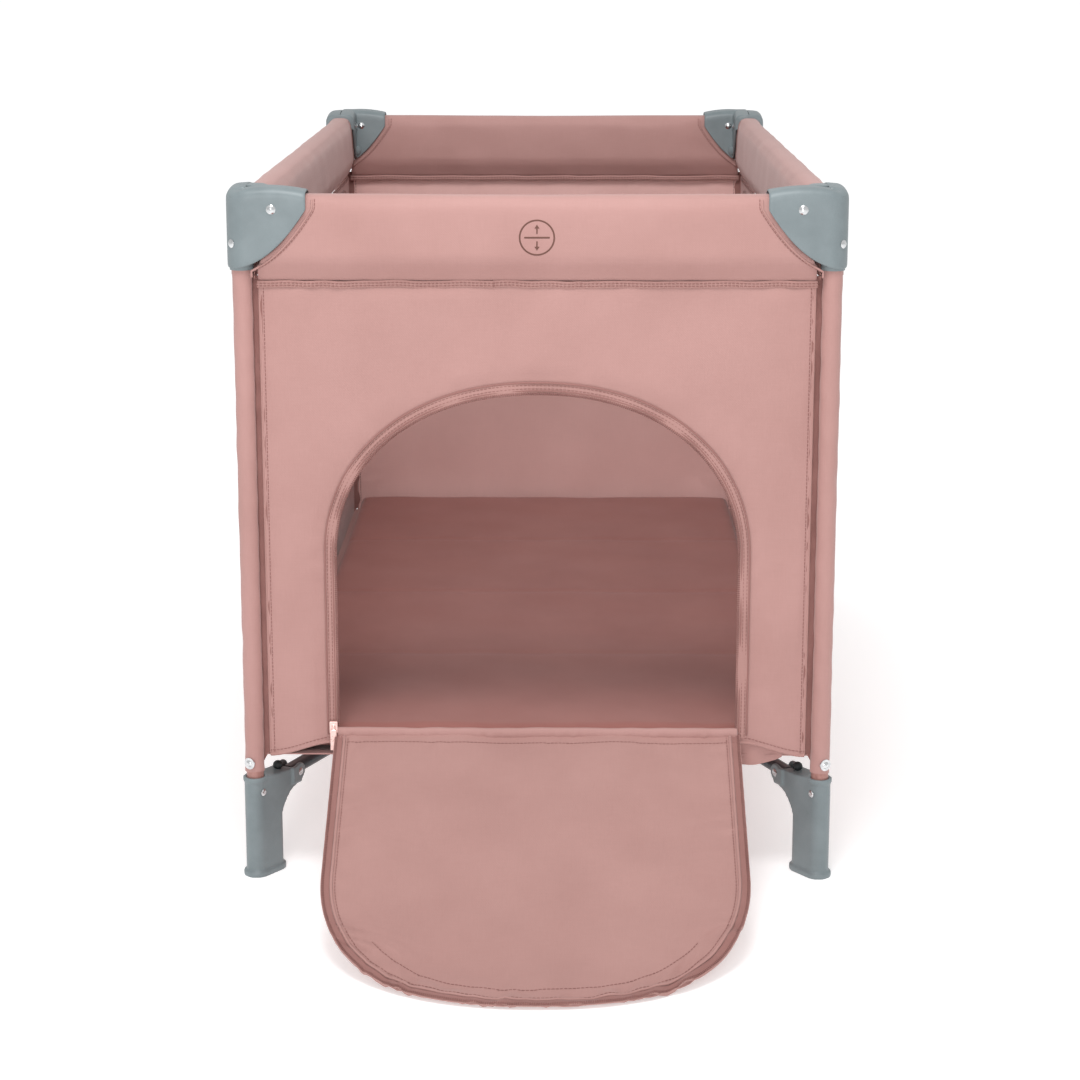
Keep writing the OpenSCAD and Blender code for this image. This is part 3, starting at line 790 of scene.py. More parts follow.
def rail_trim(rail, tree, span, name, body, seed):
    """Seam band, welts and stitching of a sleeve between two places along the rail."""
    lo, hi, ends = span
    out = np.array([*RAILS[rail][2], 0.0])
    half = RAILS[rail][3]
    cloth_parts, thread_parts = [], []
    for side in (1, -1):
        u = np.arange(lo, hi + 1e-9, (hi - lo) / max(2, int((hi - lo) / (5 * MM))))
        wavy = 0.5 * MM * waves(u, 0, seed, 60 * MM)
        plane = SEAM_PLANE + 0.35 * MM * waves(u, 1, seed + 1, 30 * MM)
        band = on_rail(rail, u, side * plane, SLEEVE_LOW - 2.6 * MM + wavy)
        cloth_parts.append(tube_mesh(band, 1.0 * MM, SEAM_BAND / 2, (0, 0, 1), sides=12))
        for drop in (4.2 * MM, 1.4 * MM):
            row = on_rail(rail, u, side * (plane + 1.15 * MM), SLEEVE_LOW - drop + wavy)
            thread_parts += stitches(row, out * side)
        for end in ends:
            z = np.linspace(SLEEVE_LOW + 6 * MM, RAIL_Z + 9 * MM, 26)
            depth = np.clip((RAIL_Z - z) / (LEAF_H + WELT_OFF), 0, 1)
            d = np.maximum((CAST_REACH + WELT_OFF) * (1 - depth) ** (1 / LEAF_POWER), 27 * MM)
            welt, seam = (lay_on(tree, on_rail(rail, end * (half + CAST_R - d - inset),
                                               side * SLEEVE_HALF, z), -out * side, 0.25 * MM)
                          for inset in (0, 3 * MM))
            cloth_parts.append(tube_mesh(welt, 1.25 * MM, 0.8 * MM, out * side))
            thread_parts += stitches(seam, out * side)
    return sewn("binding_" + name, cloth_parts, "stitching_" + name, thread_parts, body)


def rail_sleeve(rail):
    """Swells a rail's sleeve in one piece and cuts it into the lock's cover and the half rails' covers."""
    (cx, cy), along, _, half, (first, second) = RAILS[rail]
    seed = 10 * list(RAILS).index(rail)
    whole = inflate(sleeve_mesh(rail, seed), 3.6 * MM, 1.2, 1.4 * MM, sleeve_hold(rail))
    tree = tree_of(whole)
    along = Vector((*along, 0))
    near, far = (Vector((cx, cy, 0)) + along * d for d in (-LOCK_COVER, LOCK_COVER))
    end = half - 10 * MM
    parts = [(rail + "_mid", "lock_" + rail, [(far, along), (near, -along)], (-LOCK_COVER, LOCK_COVER, ())),
             (first, "half_" + first, [(near, along)], (-end, -LOCK_COVER, (-1,))),
             (second, "half_" + second, [(far, -along)], (LOCK_COVER, end, (1,)))]
    for i, (name, body, planes, span) in enumerate(parts):
        piece = cut_out(whole, "sleeve_cover_" + name, planes)
        dress(piece, "cover", body, replaces=["sleeve_" + name] if i else (), angle=50)
        trims = rail_trim(rail, tree, span, name, body, seed + i)
        if i:
            squash_all([piece, *trims])
    bpy.data.objects.remove(whole)
    return tree


SLEEVE_TREES = {rail: rail_sleeve(rail) for rail in RAILS}


def fold_print():
    """The printed ring, bar and arrows over the front lock's button."""
    lo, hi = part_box("button_front")
    cz = (lo.z + hi.z) / 2
    ring_r, bar_half = 18 * MM, 13 * MM
    a = np.linspace(0, 2 * math.pi, 61)
    lines = [(np.stack([ring_r * np.cos(a), ring_r * np.sin(a)], 1), 0.85 * MM),
             (np.array([(-bar_half, 0), (0, 0), (bar_half, 0)]), 0.9 * MM)]
    lines += [(np.array([(0, s * h * MM) for h in (4, 7, 10)]), 0.7 * MM) for s in (1, -1)]
    out = np.array([0, -1.0, 0])
    before = -620 * MM

    def printed(flat, lift):
        return lay_on(SLEEVE_TREES["front"], flat, -out, lift)

    parts = []
    for line, width in lines:
        path = resample(grid3(line[:, 0], before, cz + line[:, 1]), 1.2 * MM)
        parts.append(tube_mesh(printed(path, 0.12 * MM), width, 0.22 * MM, out, sides=8))
    for s in (1, -1):
        tip = np.array([(0, 13.5), (-2.6, 9.5), (2.6, 9.5)]) * MM
        head = printed(grid3(tip[:, 0], before, cz + s * tip[:, 1]), 0.3 * MM)
        parts.append((np.concatenate([head, head + [0, 0.5 * MM, 0]]),
                      [[0, 1, 2], [3, 5, 4], [0, 3, 4, 1], [1, 4, 5, 2], [2, 5, 3, 0]]))
    dress(many("fold_print", parts), "print", "lock_front", angle=40)


fold_print()


# ---------------------------------------------------------------- walls
WALL_HALF = 0.8 * MM
WALL_BOTTOM = WALL_LOW - 1.5 * MM
WALL_TOP = WALL_HIGH - 2 * MM
HEM_RISE = 15 * MM
HEM_STRIP = 14 * MM
FRONT = np.array([0, -1.0, 0])


def arch_line(grow, half=DOOR_HALF, n=56):
    """The door's outline from its left foot over the crown to its right, as x and height above the hem."""
    half, rise = half + grow, DOOR_RISE + grow
    a = np.linspace(0, math.pi / 2, n)
    round_x, round_z = np.cos(a) ** (2 / ARCH_POWER), np.sin(a) ** (2 / ARCH_POWER)
    arc = np.stack([half * round_x, DOOR_SPRING + rise * round_z], 1)
    right = np.concatenate([np.stack([np.full(24, half), np.linspace(0, DOOR_SPRING, 25)[:-1]], 1), arc])
    return np.concatenate([right * [-1, 1], right[-2::-1]])


def fold_front(pieces):
    squash_all(pieces)


def around_arch(inner):
    """The wall panel's outer edge, point for point with the door's outline."""
    side_n, mid = 24, len(inner) // 2
    outer = np.zeros_like(inner)
    corner = mid - 26
    top_z = WALL_TOP - HEM_Z
    for i in range(mid + 1):
        if i < side_n:
            place = (-WALL_X, inner[i, 1])
        elif i <= corner:
            place = (-WALL_X, DOOR_SPRING + (top_z - DOOR_SPRING) * (i - side_n) / (corner - side_n))
        else:
            place = (-WALL_X * (1 - (i - corner) / (mid - corner)), top_z)
        outer[i] = place
        outer[len(inner) - 1 - i] = (-place[0], place[1])
    return outer


def hem_rise(x):
    """How far the front wall's lower edge lifts above its corners, nearer to the door."""
    return HEM_RISE * (1 - ramp(np.abs(x), DOOR_HALF, WALL_X))


def front_panel():
    inner = arch_line(-TAPE_W / 2 + 0.6 * MM)
    s = np.concatenate([[0, 0.02], np.linspace(0.05, 0.95, 20), [0.98, 1]])[:, None, None]
    flat = inner[None] * (1 - s) + around_arch(inner)[None] * s
    x, z = flat[..., 0], flat[..., 1] + HEM_Z
    z = z - (1 - ramp(z, HEM_Z, HEM_Z + 60 * MM)) * (HEM_Z - WALL_BOTTOM - hem_rise(x))
    run = run_along(inner)[None]
    gap = np.linalg.norm(flat - inner[None], axis=2)
    near_side, near_top, near_zip = WALL_X - np.abs(x), WALL_TOP - z, gap - TAPE_W
    free = ramp(near_zip, 0, 16 * MM) * ramp(np.minimum(near_side, near_top), 0, 12 * MM)
    puff = free * (2.0 * MM + 1.1 * MM * waves(x, z * 0.7, 5, 110 * MM))
    puff += (0.5 + 0.9 * np.exp(-((z - 0.31) / 0.14) ** 2)) * seam_folds(1.1, run, near_zip, 6, 21, 26)
    puff += seam_folds(0.8, z, near_side, 7, 17, 16)
    puff += seam_folds(0.6, x, near_top, 8, 16, 14)
    y = -WALL_Y - puff
    wall = slab("wall_panel_front", grid3(x, y - WALL_HALF, z), grid3(x, y + WALL_HALF, z))
    return dress(wall, "cover", "post_fl", replaces=["wall_front"])


def hem_strip(x0, x1, drop, seed):
    """A strip under the front wall: the sagging hem of the floor, or the cloth behind the door's hem."""
    u = np.linspace(x0, x1, 60)[None]
    v = np.linspace(0, 1, 9)[:, None]
    sag = drop * np.sin(math.pi * (u - x0) / (x1 - x0)) ** 0.7 if drop else 0 * u
    z = base_hi.z + HEM_STRIP - v * (HEM_STRIP + sag)
    y = -WALL_Y + 1.9 * MM + 0.7 * MM * waves(u, v * 9 * MM, seed, 26 * MM)
    strip = slab("hem_strip_%d" % seed, *(grid3(u, y + d, z) for d in (-0.7 * MM, 0.7 * MM)))
    dress(strip, "cover", "post_fl")
    fold_front([strip])


def wall_front():
    wall = front_panel()
    tree = tree_of(wall)

    def seam(line):
        return stitches(lay_on(tree, resample(line, STITCH_STEP), -FRONT, STITCH_LIFT), FRONT)

    cloth_parts, thread_parts = [], []
    for sx in (-1, 1):
        edge = np.array([(sx * WALL_X, -WALL_Y, v) for v in np.linspace(WALL_BOTTOM, WALL_TOP, 60)])
        cloth_parts.append(tube_mesh(edge, 1.2 * MM, 1.5 * MM, FRONT))
        thread_parts += seam(edge + [-sx * STITCH_INSET, 0, 0])
        u = np.linspace(WALL_X, DOOR_HALF - 7 * MM, 30)
        foot_line = grid3(sx * u, -WALL_Y - 0.6 * MM, WALL_BOTTOM + hem_rise(u))
        cloth_parts.append(tube_mesh(foot_line, 1.9 * MM, 2.1 * MM, FRONT, sides=12))
        thread_parts += seam(foot_line + [0, 0, 5 * MM])
    hem_strip(DOOR_HALF - 32 * MM, DOOR_HALF + 46 * MM, 10 * MM, 3)
    hem_strip(-DOOR_HALF, DOOR_HALF, 0, 4)
    trims = sewn("wall_piping_front", cloth_parts, "wall_stitching_front", thread_parts, "post_fl")
    fold_front([wall, *trims])


def zip_run():
    """The door's zip: a tape with a dark welt outside, a light band, and a row of teeth on its inner edge."""
    face = -WALL_Y - WALL_HALF - 0.7 * MM
    grid = np.array([arch_line(-TAPE_W / 2 + w) for w in np.linspace(0.2, 12.6, 12) * MM])
    x, rise = grid[..., 0], grid[..., 1]
    lift = 0.35 * MM * waves(np.arange(grid.shape[1])[None] * 6 * MM, 0, 21, 60 * MM)
    lift = lift + 0.6 * MM * np.sin(np.linspace(0, math.pi, 12))[:, None]
    z = rise + HEM_Z - 3 * MM * (rise < 1e-6)
    tape = slab("zip_band", *(grid3(x, face - lift - d, z) for d in (0.5 * MM, -0.5 * MM)))
    dress(tape, "binding", "post_fl", ["zip_tape"])

    def over(inset, y):
        line = arch_line(-TAPE_W / 2 + inset * MM)
        return grid3(line[:, 0], face - y * MM, line[:, 1] + HEM_Z)

    welt = many("zip_welt", [tube_mesh(over(12.9, 0.7), 1.1 * MM, 0.9 * MM, FRONT),
                             tube_mesh(over(4.4, 0.75), 1.0 * MM, 0.6 * MM, FRONT)])
    cord = tube_mesh(resample(over(1.2, 0.2), 4 * MM), 0.9 * MM, 0.5 * MM, FRONT, sides=8)
    teeth = many("zip_teeth", teeth_row(over(1.2, 0.9), FRONT) + [cord])
    thread = many("zip_stitching", stitches(over(10.4, 0.85), FRONT) + stitches(over(6.6, 1.05), FRONT))
    trims = [dress(piece, finish, "post_fl")
             for piece, finish in ((welt, "tape"), (teeth, "teeth"), (thread, "thread"))]
    slider = moulded("zip_slider", "zip_pull", 0.45 * MM, 5)
    dress(slider, "slider", "zip", ["zip_slider"])
    fold_front([tape, *trims, slider])


def wall_rear():
    x = np.linspace(-WALL_X, WALL_X, 120)[None]
    z = np.linspace(WALL_BOTTOM, WALL_TOP, 110)[:, None]
    near_side, near_top, near_low = WALL_X - np.abs(x), WALL_TOP - z, z - WALL_BOTTOM
    free = ramp(np.minimum(np.minimum(near_side, near_top), near_low), 0, 60 * MM)
    puff = 1.6 * MM * waves(x, z * 0.6, 31, 160 * MM) * free + 2 * MM * free
    nearest = ramp(np.minimum(np.minimum(near_side, near_top), near_low), 0, 5 * MM)
    rows = (0.8, z, near_side, 32, 24, 24), (0.7, x, near_top, 33, 19, 20), (0.7, x, near_low, 34, 22, 20)
    for height, along, away, seed, pitch, depth in rows:
        puff += height * MM * puckers(along, away, seed, pitch * MM, depth * MM) * nearest
    wall = slab("wall_panel_rear", *(grid3(x, WALL_Y + puff + d, z) for d in (-WALL_HALF, WALL_HALF)))
    # The inner face is dressed in the lighter inside cloth, painted light on the inside of the rear wall; the
    # outer face keeps the cover cloth.
    dress(wall, "inside", "post_rr", replaces=["wall_rear"])
    wall.data.materials.append(MAT["cover"])
    for face in wall.data.polygons:
        face.material_index = int(face.normal.y > 0.2)
    tree = tree_of(wall)
    cloth_parts, thread_parts = [], []
    corners = [(-WALL_X, WALL_TOP), (-WALL_X, WALL_BOTTOM), (WALL_X, WALL_BOTTOM), (WALL_X, WALL_TOP)]
    for (x0, z0), (x1, z1) in zip(corners, corners[1:]):
        edge = resample([(x0, WALL_Y, z0), (x1, WALL_Y, z1)], 6 * MM)
        cloth_parts.append(tube_mesh(edge, 1.4 * MM, 1.6 * MM, -FRONT))
        row = edge[1:-1] + np.array([-np.sign(x0 + x1), 0, 1 if z0 == z1 else 0]) * STITCH_INSET
        for side in (-FRONT, FRONT):
            thread_parts += stitches(lay_on(tree, row, -side, STITCH_LIFT), side)
    trims = sewn("wall_piping_rear", cloth_parts, "wall_stitching_rear", thread_parts, "post_rr")
    squash_all([wall, *trims])


WINDOW_R = 32 * MM
WINDOW_STEPS = 9
WINDOW_LONG = 90
WINDOW_SHORT = 30
NET_TUCK = 2 * MM
SIDE_X = (side_lo.x + side_hi.x) / 2


def window_lines(grow=0.0):
    """The mesh window's rounded outline and, point for point, the edge of the wall around it, as y and z."""
    y1, z0, z1 = window_hi.y + grow, window_lo.z - grow, window_hi.z + grow
    r = WINDOW_R + grow
    wy, w0, w1 = side_hi.y, WALL_BOTTOM, WALL_TOP
    # each corner: centre of its arc, the arc's first angle, the wall's corner, and the ways in and out of it
    corners = [((y1 - r, z0 + r), -90, (wy, w0), (1, 0), (0, 1)),
               ((y1 - r, z1 - r), 0, (wy, w1), (0, 1), (-1, 0)),
               ((r - y1, z1 - r), 90, (-wy, w1), (-1, 0), (0, -1)),
               ((r - y1, z0 + r), 180, (-wy, w0), (0, -1), (1, 0))]
    corners = [tuple(map(np.array, corner)) for corner in corners]
    inner, outer = [], []
    for i, (centre, start, wall, before, after) in enumerate(corners):
        reach = np.abs([abs(wall[0]) - abs(centre[0]), wall[1] - centre[1]])
        for t in np.linspace(-1, 1, WINDOW_STEPS):
            a = math.radians(start + 45 * (t + 1))
            inner.append(centre + r * np.array([math.cos(a), math.sin(a)]))
            outer.append(wall + (before if t < 0 else after) * reach * t)
        ahead, _, next_wall, next_before, _ = corners[(i + 1) % 4]
        out = r * np.array([math.cos(a), math.sin(a)])
        reach = np.abs([abs(next_wall[0]) - abs(ahead[0]), next_wall[1] - ahead[1]])
        ends = (centre + out, ahead + out), (outer[-1], next_wall - next_before * reach)
        for f in np.linspace(0, 1, (WINDOW_LONG if i % 2 else WINDOW_SHORT) + 1)[1:-1]:
            for line, (here, there) in zip((inner, outer), ends):
                line.append(here + (there - here) * f)
    return np.array(inner), np.array(outer)


def wall_side(side, sx, body):
    inner, outer = window_lines()
    s = np.concatenate([[0, 0.03], np.linspace(0.08, 0.96, 16), [1]])[:, None, None]
    flat = inner[None] * (1 - s) + outer[None] * s
    y, z = flat[..., 0], flat[..., 1]
    gap = np.linalg.norm(flat - inner[None], axis=2)
    near_low = z - WALL_BOTTOM
    near = np.minimum(np.minimum(side_hi.y - np.abs(y), WALL_TOP - z), near_low)
    flat_rim = ramp(near, 0, 5 * MM)
    seed = 50 + 10 * sx
    inside_ring = ramp(gap, 6 * MM, 40 * MM) * ramp(near, 0, 40 * MM)
    puff = inside_ring * (3 * MM + 2 * MM * waves(y, z * 0.8, seed, 150 * MM))
    window_folds = puckers(run_along(inner)[None], gap - 6 * MM, seed + 1, 24 * MM, 24 * MM)
    puff += 0.9 * MM * window_folds * ramp(gap, 5 * MM, 10 * MM) * flat_rim
    puff += 0.8 * MM * puckers(y, near_low, seed + 2, 26 * MM, 26 * MM) * flat_rim
    stacks = [grid3(sx * (SIDE_X + puff + d), y, z) for d in (WALL_HALF, -WALL_HALF)]
    wall = make("wall_panel_" + side, *shell_pipe(*stacks))
    dress(wall, "cover", body, replaces=["wall_" + side])
    tree = tree_of(wall)
    out = np.array([sx, 0, 0.0])
    cloth_parts, thread_parts = [], []
    ring = window_lines(-1.5 * MM)[0]
    ring = np.concatenate([ring, ring[:1]])
    for d in (1, -1):
        band = grid3(sx * (SIDE_X + d * 1.3 * MM), ring[:, 0], ring[:, 1])
        outward = np.cross(tangents(band), out * -sx)
        face = np.array([band + outward * w for w in np.linspace(-1.0, 7.5, 7) * MM])
        thick = out * d * 0.55 * MM
        cloth_parts.append(two_faced(face + thick, face - thick))
        for w in (0.4 * MM, 6.2 * MM):
            row = resample(band + outward * w + out * d * 0.75 * MM, STITCH_STEP)
            thread_parts += stitches(row, out * d)
    corners = [(-side_hi.y, WALL_TOP), (-side_hi.y, WALL_BOTTOM),
               (side_hi.y, WALL_BOTTOM), (side_hi.y, WALL_TOP)]
    for (y0, z0), (y1, z1) in zip(corners, corners[1:]):
        edge = resample([(sx * SIDE_X, y0, z0), (sx * SIDE_X, y1, z1)], 8 * MM)
        cloth_parts.append(tube_mesh(edge, 1.5 * MM, 1.7 * MM, out))
        step = np.array([0, -np.sign(y0 + y1), 1 if z0 == z1 else 0]) * STITCH_INSET
        thread_parts += stitches(lay_on(tree, edge[1:-1] + step, -out, STITCH_LIFT), out)
    trims = sewn("wall_binding_" + side, cloth_parts, "wall_stitching_" + side, thread_parts, body)
    net = side_net(side, sx, body, seed + 5)
    squash_all([wall, *trims, net])


def side_net(side, sx, body, seed):
    half, low, high = window_hi.y + NET_TUCK, window_lo.z - NET_TUCK, window_hi.z + NET_TUCK
    u = np.linspace(-1, 1, 150)[None] * half
    v = np.linspace(low, high, 60)[:, None]
    near = np.minimum(window_hi.y - np.abs(u), np.minimum(v - window_lo.z, window_hi.z - v))
    sway = 2.2 * MM * waves(u, v, seed, 210 * MM) * ramp(near, 0, 70 * MM)
    mesh = slab("net_" + side, *(grid3(sx * (SIDE_X + sway + d), u, v) for d in (0.3 * MM, -0.3 * MM)))
    dress(mesh, "net", body, ["mesh_" + side])
    return mesh


wall_front()
zip_run()
wall_rear()
wall_side("left", -1, "post_fl")
wall_side("right", 1, "post_rr")


# ---------------------------------------------------------------- the open door
FLAP_LEN = DOOR_SPRING + DOOR_RISE
FLAP_STRAIGHT = 300 * MM
FLAP_CURL = 74 * MM
FLAP_CURL_R = FLAP_CURL / FLAP_SLOPE
FLAP_HALF = DOOR_HALF - 1.5 * MM
FLAP_THICK = 1.2 * MM
FLAP_UP = np.array([0, -math.sin(FLAP_SLOPE), math.cos(FLAP_SLOPE)])
HEM_R = 4 * MM


def flap_place(s, x, lift=0.0):
    """A point of the flap at path length s from the hem, with the flap's own upward direction."""
    s, x, lift = np.broadcast_arrays(np.asarray(s, float), x, lift)
    q = FLAP_SLOPE - np.clip(s - FLAP_STRAIGHT, 0, FLAP_CURL) / FLAP_CURL_R
    straight, floor_run = np.minimum(s, FLAP_STRAIGHT), np.maximum(0, s - FLAP_STRAIGHT - FLAP_CURL)
    y = HEM_Y - straight * math.cos(FLAP_SLOPE) - FLAP_CURL_R * (math.sin(FLAP_SLOPE) - np.sin(q)) - floor_run
    z = HEM_Z - straight * math.sin(FLAP_SLOPE) - FLAP_CURL_R * (np.cos(q) - math.cos(FLAP_SLOPE))
    return np.stack([x, y - np.sin(q) * lift, z + np.cos(q) * lift], -1)


def flap_relief(s, x, edge):
    """Height of the flap's soft folds: gathers along its border, broad sag in its middle."""
    round_end = ramp(s, DOOR_SPRING + 20 * MM, DOOR_SPRING + 110 * MM)
    along = x * (0.3 + 0.7 * round_end) + s * (1 - 0.4 * round_end)
    rim = np.exp(-((edge - 16 * MM) / (14 * MM)) ** 2)
    middle = ramp(edge, 10 * MM, 120 * MM) * ramp(s, 20 * MM, 90 * MM) * (1 - ramp(s, 220 * MM, 300 * MM))
    relief = 1.5 * MM * waves(x, s, 61, 130 * MM) * ramp(edge, 0, 50 * MM)
    relief += (0.9 + 2.2 * round_end) * MM * puckers(along, edge, 62, 23 * MM, 26 * MM)
    relief += 0.8 * MM * waves(x, s, 63, 34 * MM) * rim * (0.4 + 1.6 * round_end)
    relief += 0.9 * MM * puckers(x, s, 64, 19 * MM, 22 * MM) * ramp(s, 6 * MM, 12 * MM)
    return relief - 4 * MM * middle + 1.5 * MM * ramp(s, 250 * MM, 330 * MM)


def flap_panel():
    border = arch_line(0, FLAP_HALF)
    phi = np.linspace(-math.pi / 2, math.pi / 2, 141)
    x = FLAP_HALF * np.sign(phi) * np.abs(np.sin(phi)) ** (2 / ARCH_POWER)
    reach = DOOR_SPRING + (FLAP_LEN - DOOR_SPRING) * np.abs(np.cos(phi)) ** (2 / ARCH_POWER)
    s = np.linspace(0, 1, 120)[:, None] * reach[None]
    xx = np.broadcast_to(x, s.shape)
    flat = np.stack([xx, s], 2).reshape(-1, 2)
    edge = np.sqrt(((flat[:, None] - border[None, ::2]) ** 2).sum(2)).min(1).reshape(s.shape)
    relief = flap_relief(s, xx, edge)
    top, low = (flap_place(s, xx, relief + d) for d in (FLAP_THICK, -FLAP_THICK))
    low[..., 2] = np.maximum(low[..., 2], 0.3 * MM)
    top[..., 2] = np.maximum(top[..., 2], low[..., 2] + 1.8 * MM)
    # The flap cloth is the cover cloth darkened: painted shade on the door flap.
    return dress(slab("door_panel", top, low), "flap", "door", ["door_flap"])


def flap():
    panel = flap_panel()
    tree = tree_of(panel)

    def laid(x, s, lift):
        return lay_on(tree, flap_place(s, x), -FLAP_UP, lift)

    def border_line(inset, lift):
        line = arch_line(-inset * MM, FLAP_HALF)
        return laid(line[:, 0], np.maximum(line[:, 1], 0), lift * MM)

    band = np.array([border_line(w, 0.5) for w in np.linspace(0.6, 8.5, 6)])
    tape = many("door_tape", [two_faced(band + FLAP_UP * 0.35 * MM, band - FLAP_UP * 0.35 * MM)])
    welt = many("door_welt", [tube_mesh(border_line(10.6, 0.8), 1.5 * MM, 1.3 * MM, FLAP_UP),
                              tube_mesh(border_line(0.5, 0.2), 0.9 * MM, 0.9 * MM, FLAP_UP, sides=8)])
    teeth = many("door_teeth", teeth_row(border_line(1.6, 0.9), FLAP_UP))
    end_x, end_s = arch_line(-30 * MM, FLAP_HALF).T
    end = end_s > DOOR_SPRING + 84 * MM
    u = np.linspace(-FLAP_HALF + 3 * MM, FLAP_HALF - 3 * MM, 90)
    thread = many("door_stitching", stitches(border_line(14.5, 0.1), FLAP_UP)
                  + stitches(laid(end_x[end], end_s[end], 0.1 * MM), FLAP_UP)
                  + stitches(laid(u, 12 * MM, 0.1 * MM), FLAP_UP))
    centre = grid3(u, HEM_Y + 1 * MM + 0.3 * MM * waves(u, 0, 71, 40 * MM),
                   HEM_Z + 2 * MM + 0.4 * MM * waves(u, 0, 72, 55 * MM))
    roll = make("door_hem", *tube_mesh(resample(centre, 2 * MM), HEM_R, 1.6 * HEM_R, (0, 0, 1), sides=18))
    co = points_of(roll)
    co[:, 1] -= 0.5 * MM * puckers(co[:, 0], 0, 73, 13 * MM, 10 * MM) * ramp(co[:, 2], HEM_Z + 6 * MM, HEM_Z)
    set_points(roll, co)
    # A thin cord of the darker tape cloth in the fold under the hem's roll: painted shade of that fold.
    groove = grid3(u, HEM_Y - 3.6 * MM, HEM_Z - 3.4 * MM + 0.3 * MM * waves(u, 0, 74, 70 * MM))
    painted_shade_crease = make("door_crease", *tube_mesh(groove, 0.8 * MM, 0.8 * MM, (0, 0, 1), sides=8))
    trims = [dress(tape, "tape", "door"), dress(welt, "binding", "door"),
             dress(teeth, "teeth", "door"), dress(thread, "thread", "door"),
             dress(roll, "cover", "door"), dress(painted_shade_crease, "tape", "door")]
    fold_front([panel, *trims])


flap()


# ---------------------------------------------------------------- floor fabric and mattress
def quarters(whole, name, finish, node, declare):
    """Cuts a sheet or pad into four, each of which folds with the floor arm of its corner."""
    for key, (sx, sy) in SIGNS.items():
        planes = [(Vector((0, 0, 0)), Vector((-sx, 0, 0))), (Vector((0, 0, 0)), Vector((0, -sy, 0)))]
        piece = cut_out(whole, name + "_" + key, planes)
        dress(piece, finish, "arm_" + key, [node], angle=50)
        declare(piece)
        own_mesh(piece)
    bpy.data.objects.remove(whole)


def mattress():
    half_x, half_y = mattress_hi.x - 1.5 * MM, mattress_hi.y - 1.5 * MM
    bm = bmesh.new()
    bmesh.ops.create_cube(bm, size=1)
    for v in bm.verts:
        v.co = (v.co.x * 2 * half_x, v.co.y * 2 * half_y,
                (mattress_lo.z + mattress_hi.z) / 2 + v.co.z * (mattress_hi.z - mattress_lo.z - 4 * MM))
    mesh = bpy.data.meshes.new("mattress_whole")
    bm.to_mesh(mesh)
    bm.free()
    whole = inflate(link("mattress_whole", mesh), 6 * MM, 2, 2 * MM, lambda co: np.ones(len(co)))
    co = points_of(whole)
    top = ramp(co[:, 2], mattress_lo.z + 8 * MM, mattress_hi.z - 6 * MM)
    edge = np.minimum(half_x - np.abs(co[:, 0]), half_y - np.abs(co[:, 1]))
    co[:, 2] += top * 0.5 * MM * waves(co[:, 0], co[:, 1], 81, 170 * MM)
    co[:, 2] -= top * 4 * MM * (1 - ramp(edge, -4 * MM, 14 * MM))
    for k in (-0.5, 0, 0.5):
        co[:, 2] -= top * 1.0 * MM * np.exp(-((co[:, 1] - k * half_y) / (7 * MM)) ** 2)
    set_points(whole, co)
    # The mattress cloth's dark, red tone is painted shade of the cot's inside.
    quarters(whole, "mattress_pad", "mattress", "mattress",
             lambda p: p)


def base():
    half_x, half_y = side_hi.x + 2 * MM, WALL_Y - 1.2 * MM
    y = np.linspace(-1, 1, 150)[:, None] * half_y
    reach = np.where(np.abs(y) > side_hi.y - 4 * MM, side_lo.x, half_x)
    x = np.linspace(-1, 1, 90)[None] * reach
    edge = np.minimum(half_x - np.abs(x), half_y - np.abs(y))
    sag = (1.2 * MM * waves(x, y, 91, 160 * MM) - 1 * MM) * ramp(edge, 0, 30 * MM)
    sag += 2.6 * MM * (1 - ramp(edge, 4 * MM, 30 * MM))
    z = base_lo.z + 1.6 * MM + sag
    whole = slab("base_whole", *(grid3(x, y, z + d) for d in (0.7 * MM, -0.7 * MM)))
    quarters(whole, "base_fabric", "cover", "base_fabric",
             lambda p: p)


mattress()
base()

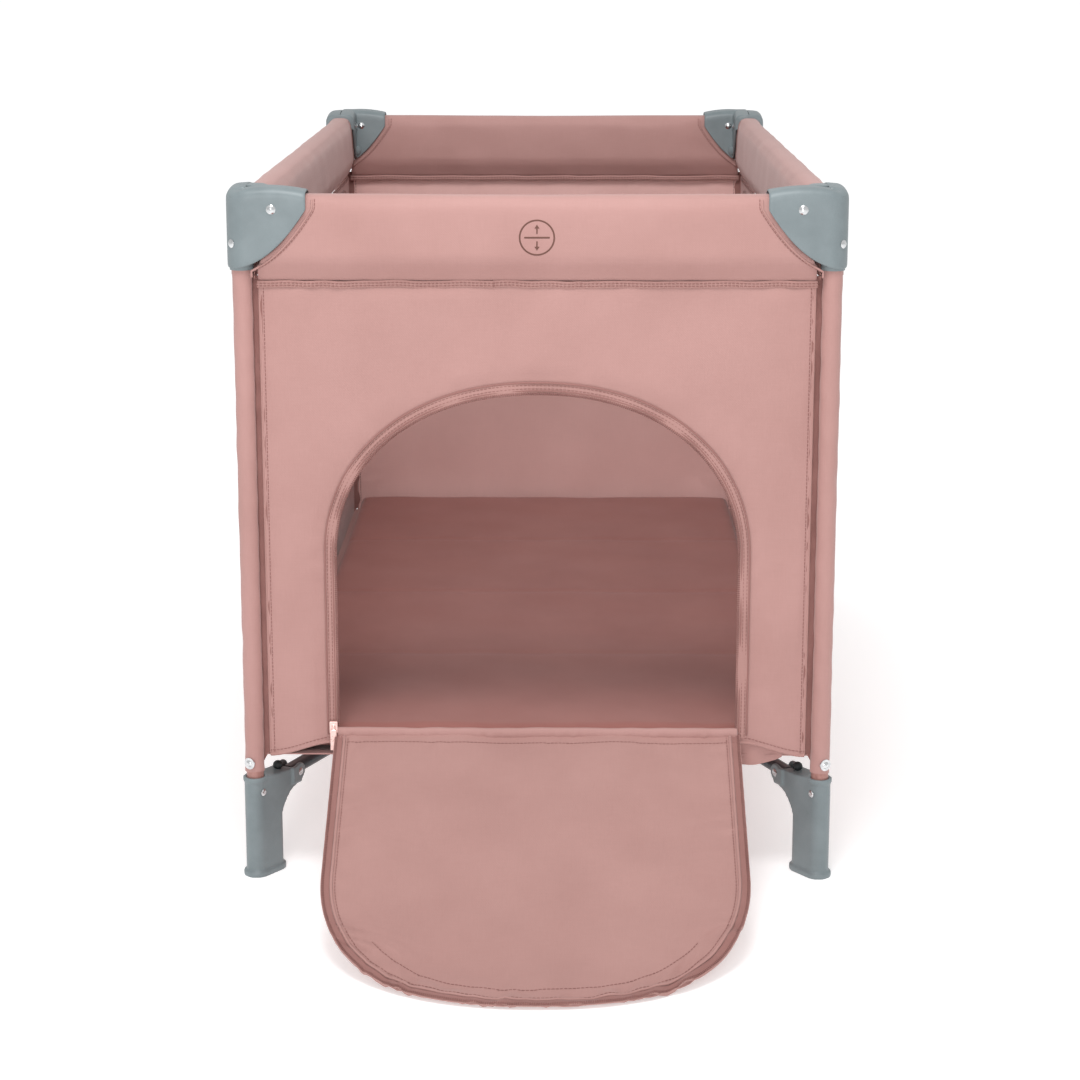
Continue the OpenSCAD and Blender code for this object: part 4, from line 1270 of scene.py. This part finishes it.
# ---------------------------------------------------------------- CAD pieces that stay
for corner in SIGNS:
    paint("leg_" + corner, "pink_steel")
    paint("fasteners_" + corner, "screw")
    paint("arm_" + corner, "slate")
for rail in RAILS:
    paint("lock_" + rail, "dark")
    paint("button_" + rail, "button")
    for half_rail in RAILS[rail][4]:
        paint("rail_" + half_rail, "slate")
for cad_node, finish in (("hub_plate", "grey"), ("hub_cap", "dark"), ("hub_foot", "dark"),
                         ("hub_pins", "screw"), ("pull_strap", "webbing")):
    paint(cad_node, finish)

# ---------------------------------------------------------------- floor, light and camera
SKY = 0.76
FLOOR_GLOW = 0.34
FLOOR_HALF = 60
CAMERA_AT = (0.025, -3.1, 1.01)
CAMERA_PITCH = 12.5
CAMERA_YAW = 0.5

scene = bpy.context.scene
scene.view_settings.view_transform = "Standard"
floor_mesh = bpy.data.meshes.new("floor")
floor_mesh.from_pydata([(x * FLOOR_HALF, y * FLOOR_HALF, 0) for x, y in ((-1, -1), (1, -1), (1, 1), (-1, 1))],
                       [], [[0, 1, 2, 3]])
floor = link("floor", floor_mesh)
floor_paint = Nodes("floor_paint", Roughness=0.9, Base_Color=(0.92, 0.92, 0.92, 1),
                    Emission_Color=(1, 1, 1, 1), Emission_Strength=FLOOR_GLOW)
floor_mesh.materials.append(floor_paint.mat)

world = bpy.data.worlds.new("pale")
scene.world = world
world.use_nodes = True
sky = world.node_tree.nodes["Background"]
sky.inputs["Strength"].default_value = SKY
sky.inputs["Color"].default_value = (1, 1, 1, 1)


def area_light(name, place, target, size, power):
    lamp = bpy.data.lights.new(name, "AREA")
    lamp.shape = "DISK"
    lamp.size = size
    lamp.energy = power
    obj = bpy.data.objects.new(name, lamp)
    scene.collection.objects.link(obj)
    obj.location = place
    obj.rotation_euler = (Vector(target) - Vector(place)).to_track_quat("-Z", "Y").to_euler()


area_light("key", (-0.6, -4.6, 1.5), (0, 0, 0.45), 1.3, 38)
area_light("top", (-0.1, -1.3, 2.3), (0, 0.56, 0.4), 0.9, 24)

camera = bpy.data.cameras.new("camera")
camera.sensor_width = 36
camera.lens = 80.5
camera.shift_y = -0.06
camera_obj = bpy.data.objects.new("camera", camera)
scene.collection.objects.link(camera_obj)
camera_obj.location = CAMERA_AT
camera_obj.rotation_euler = (math.radians(90 - CAMERA_PITCH), 0, math.radians(CAMERA_YAW))
scene.camera = camera_obj
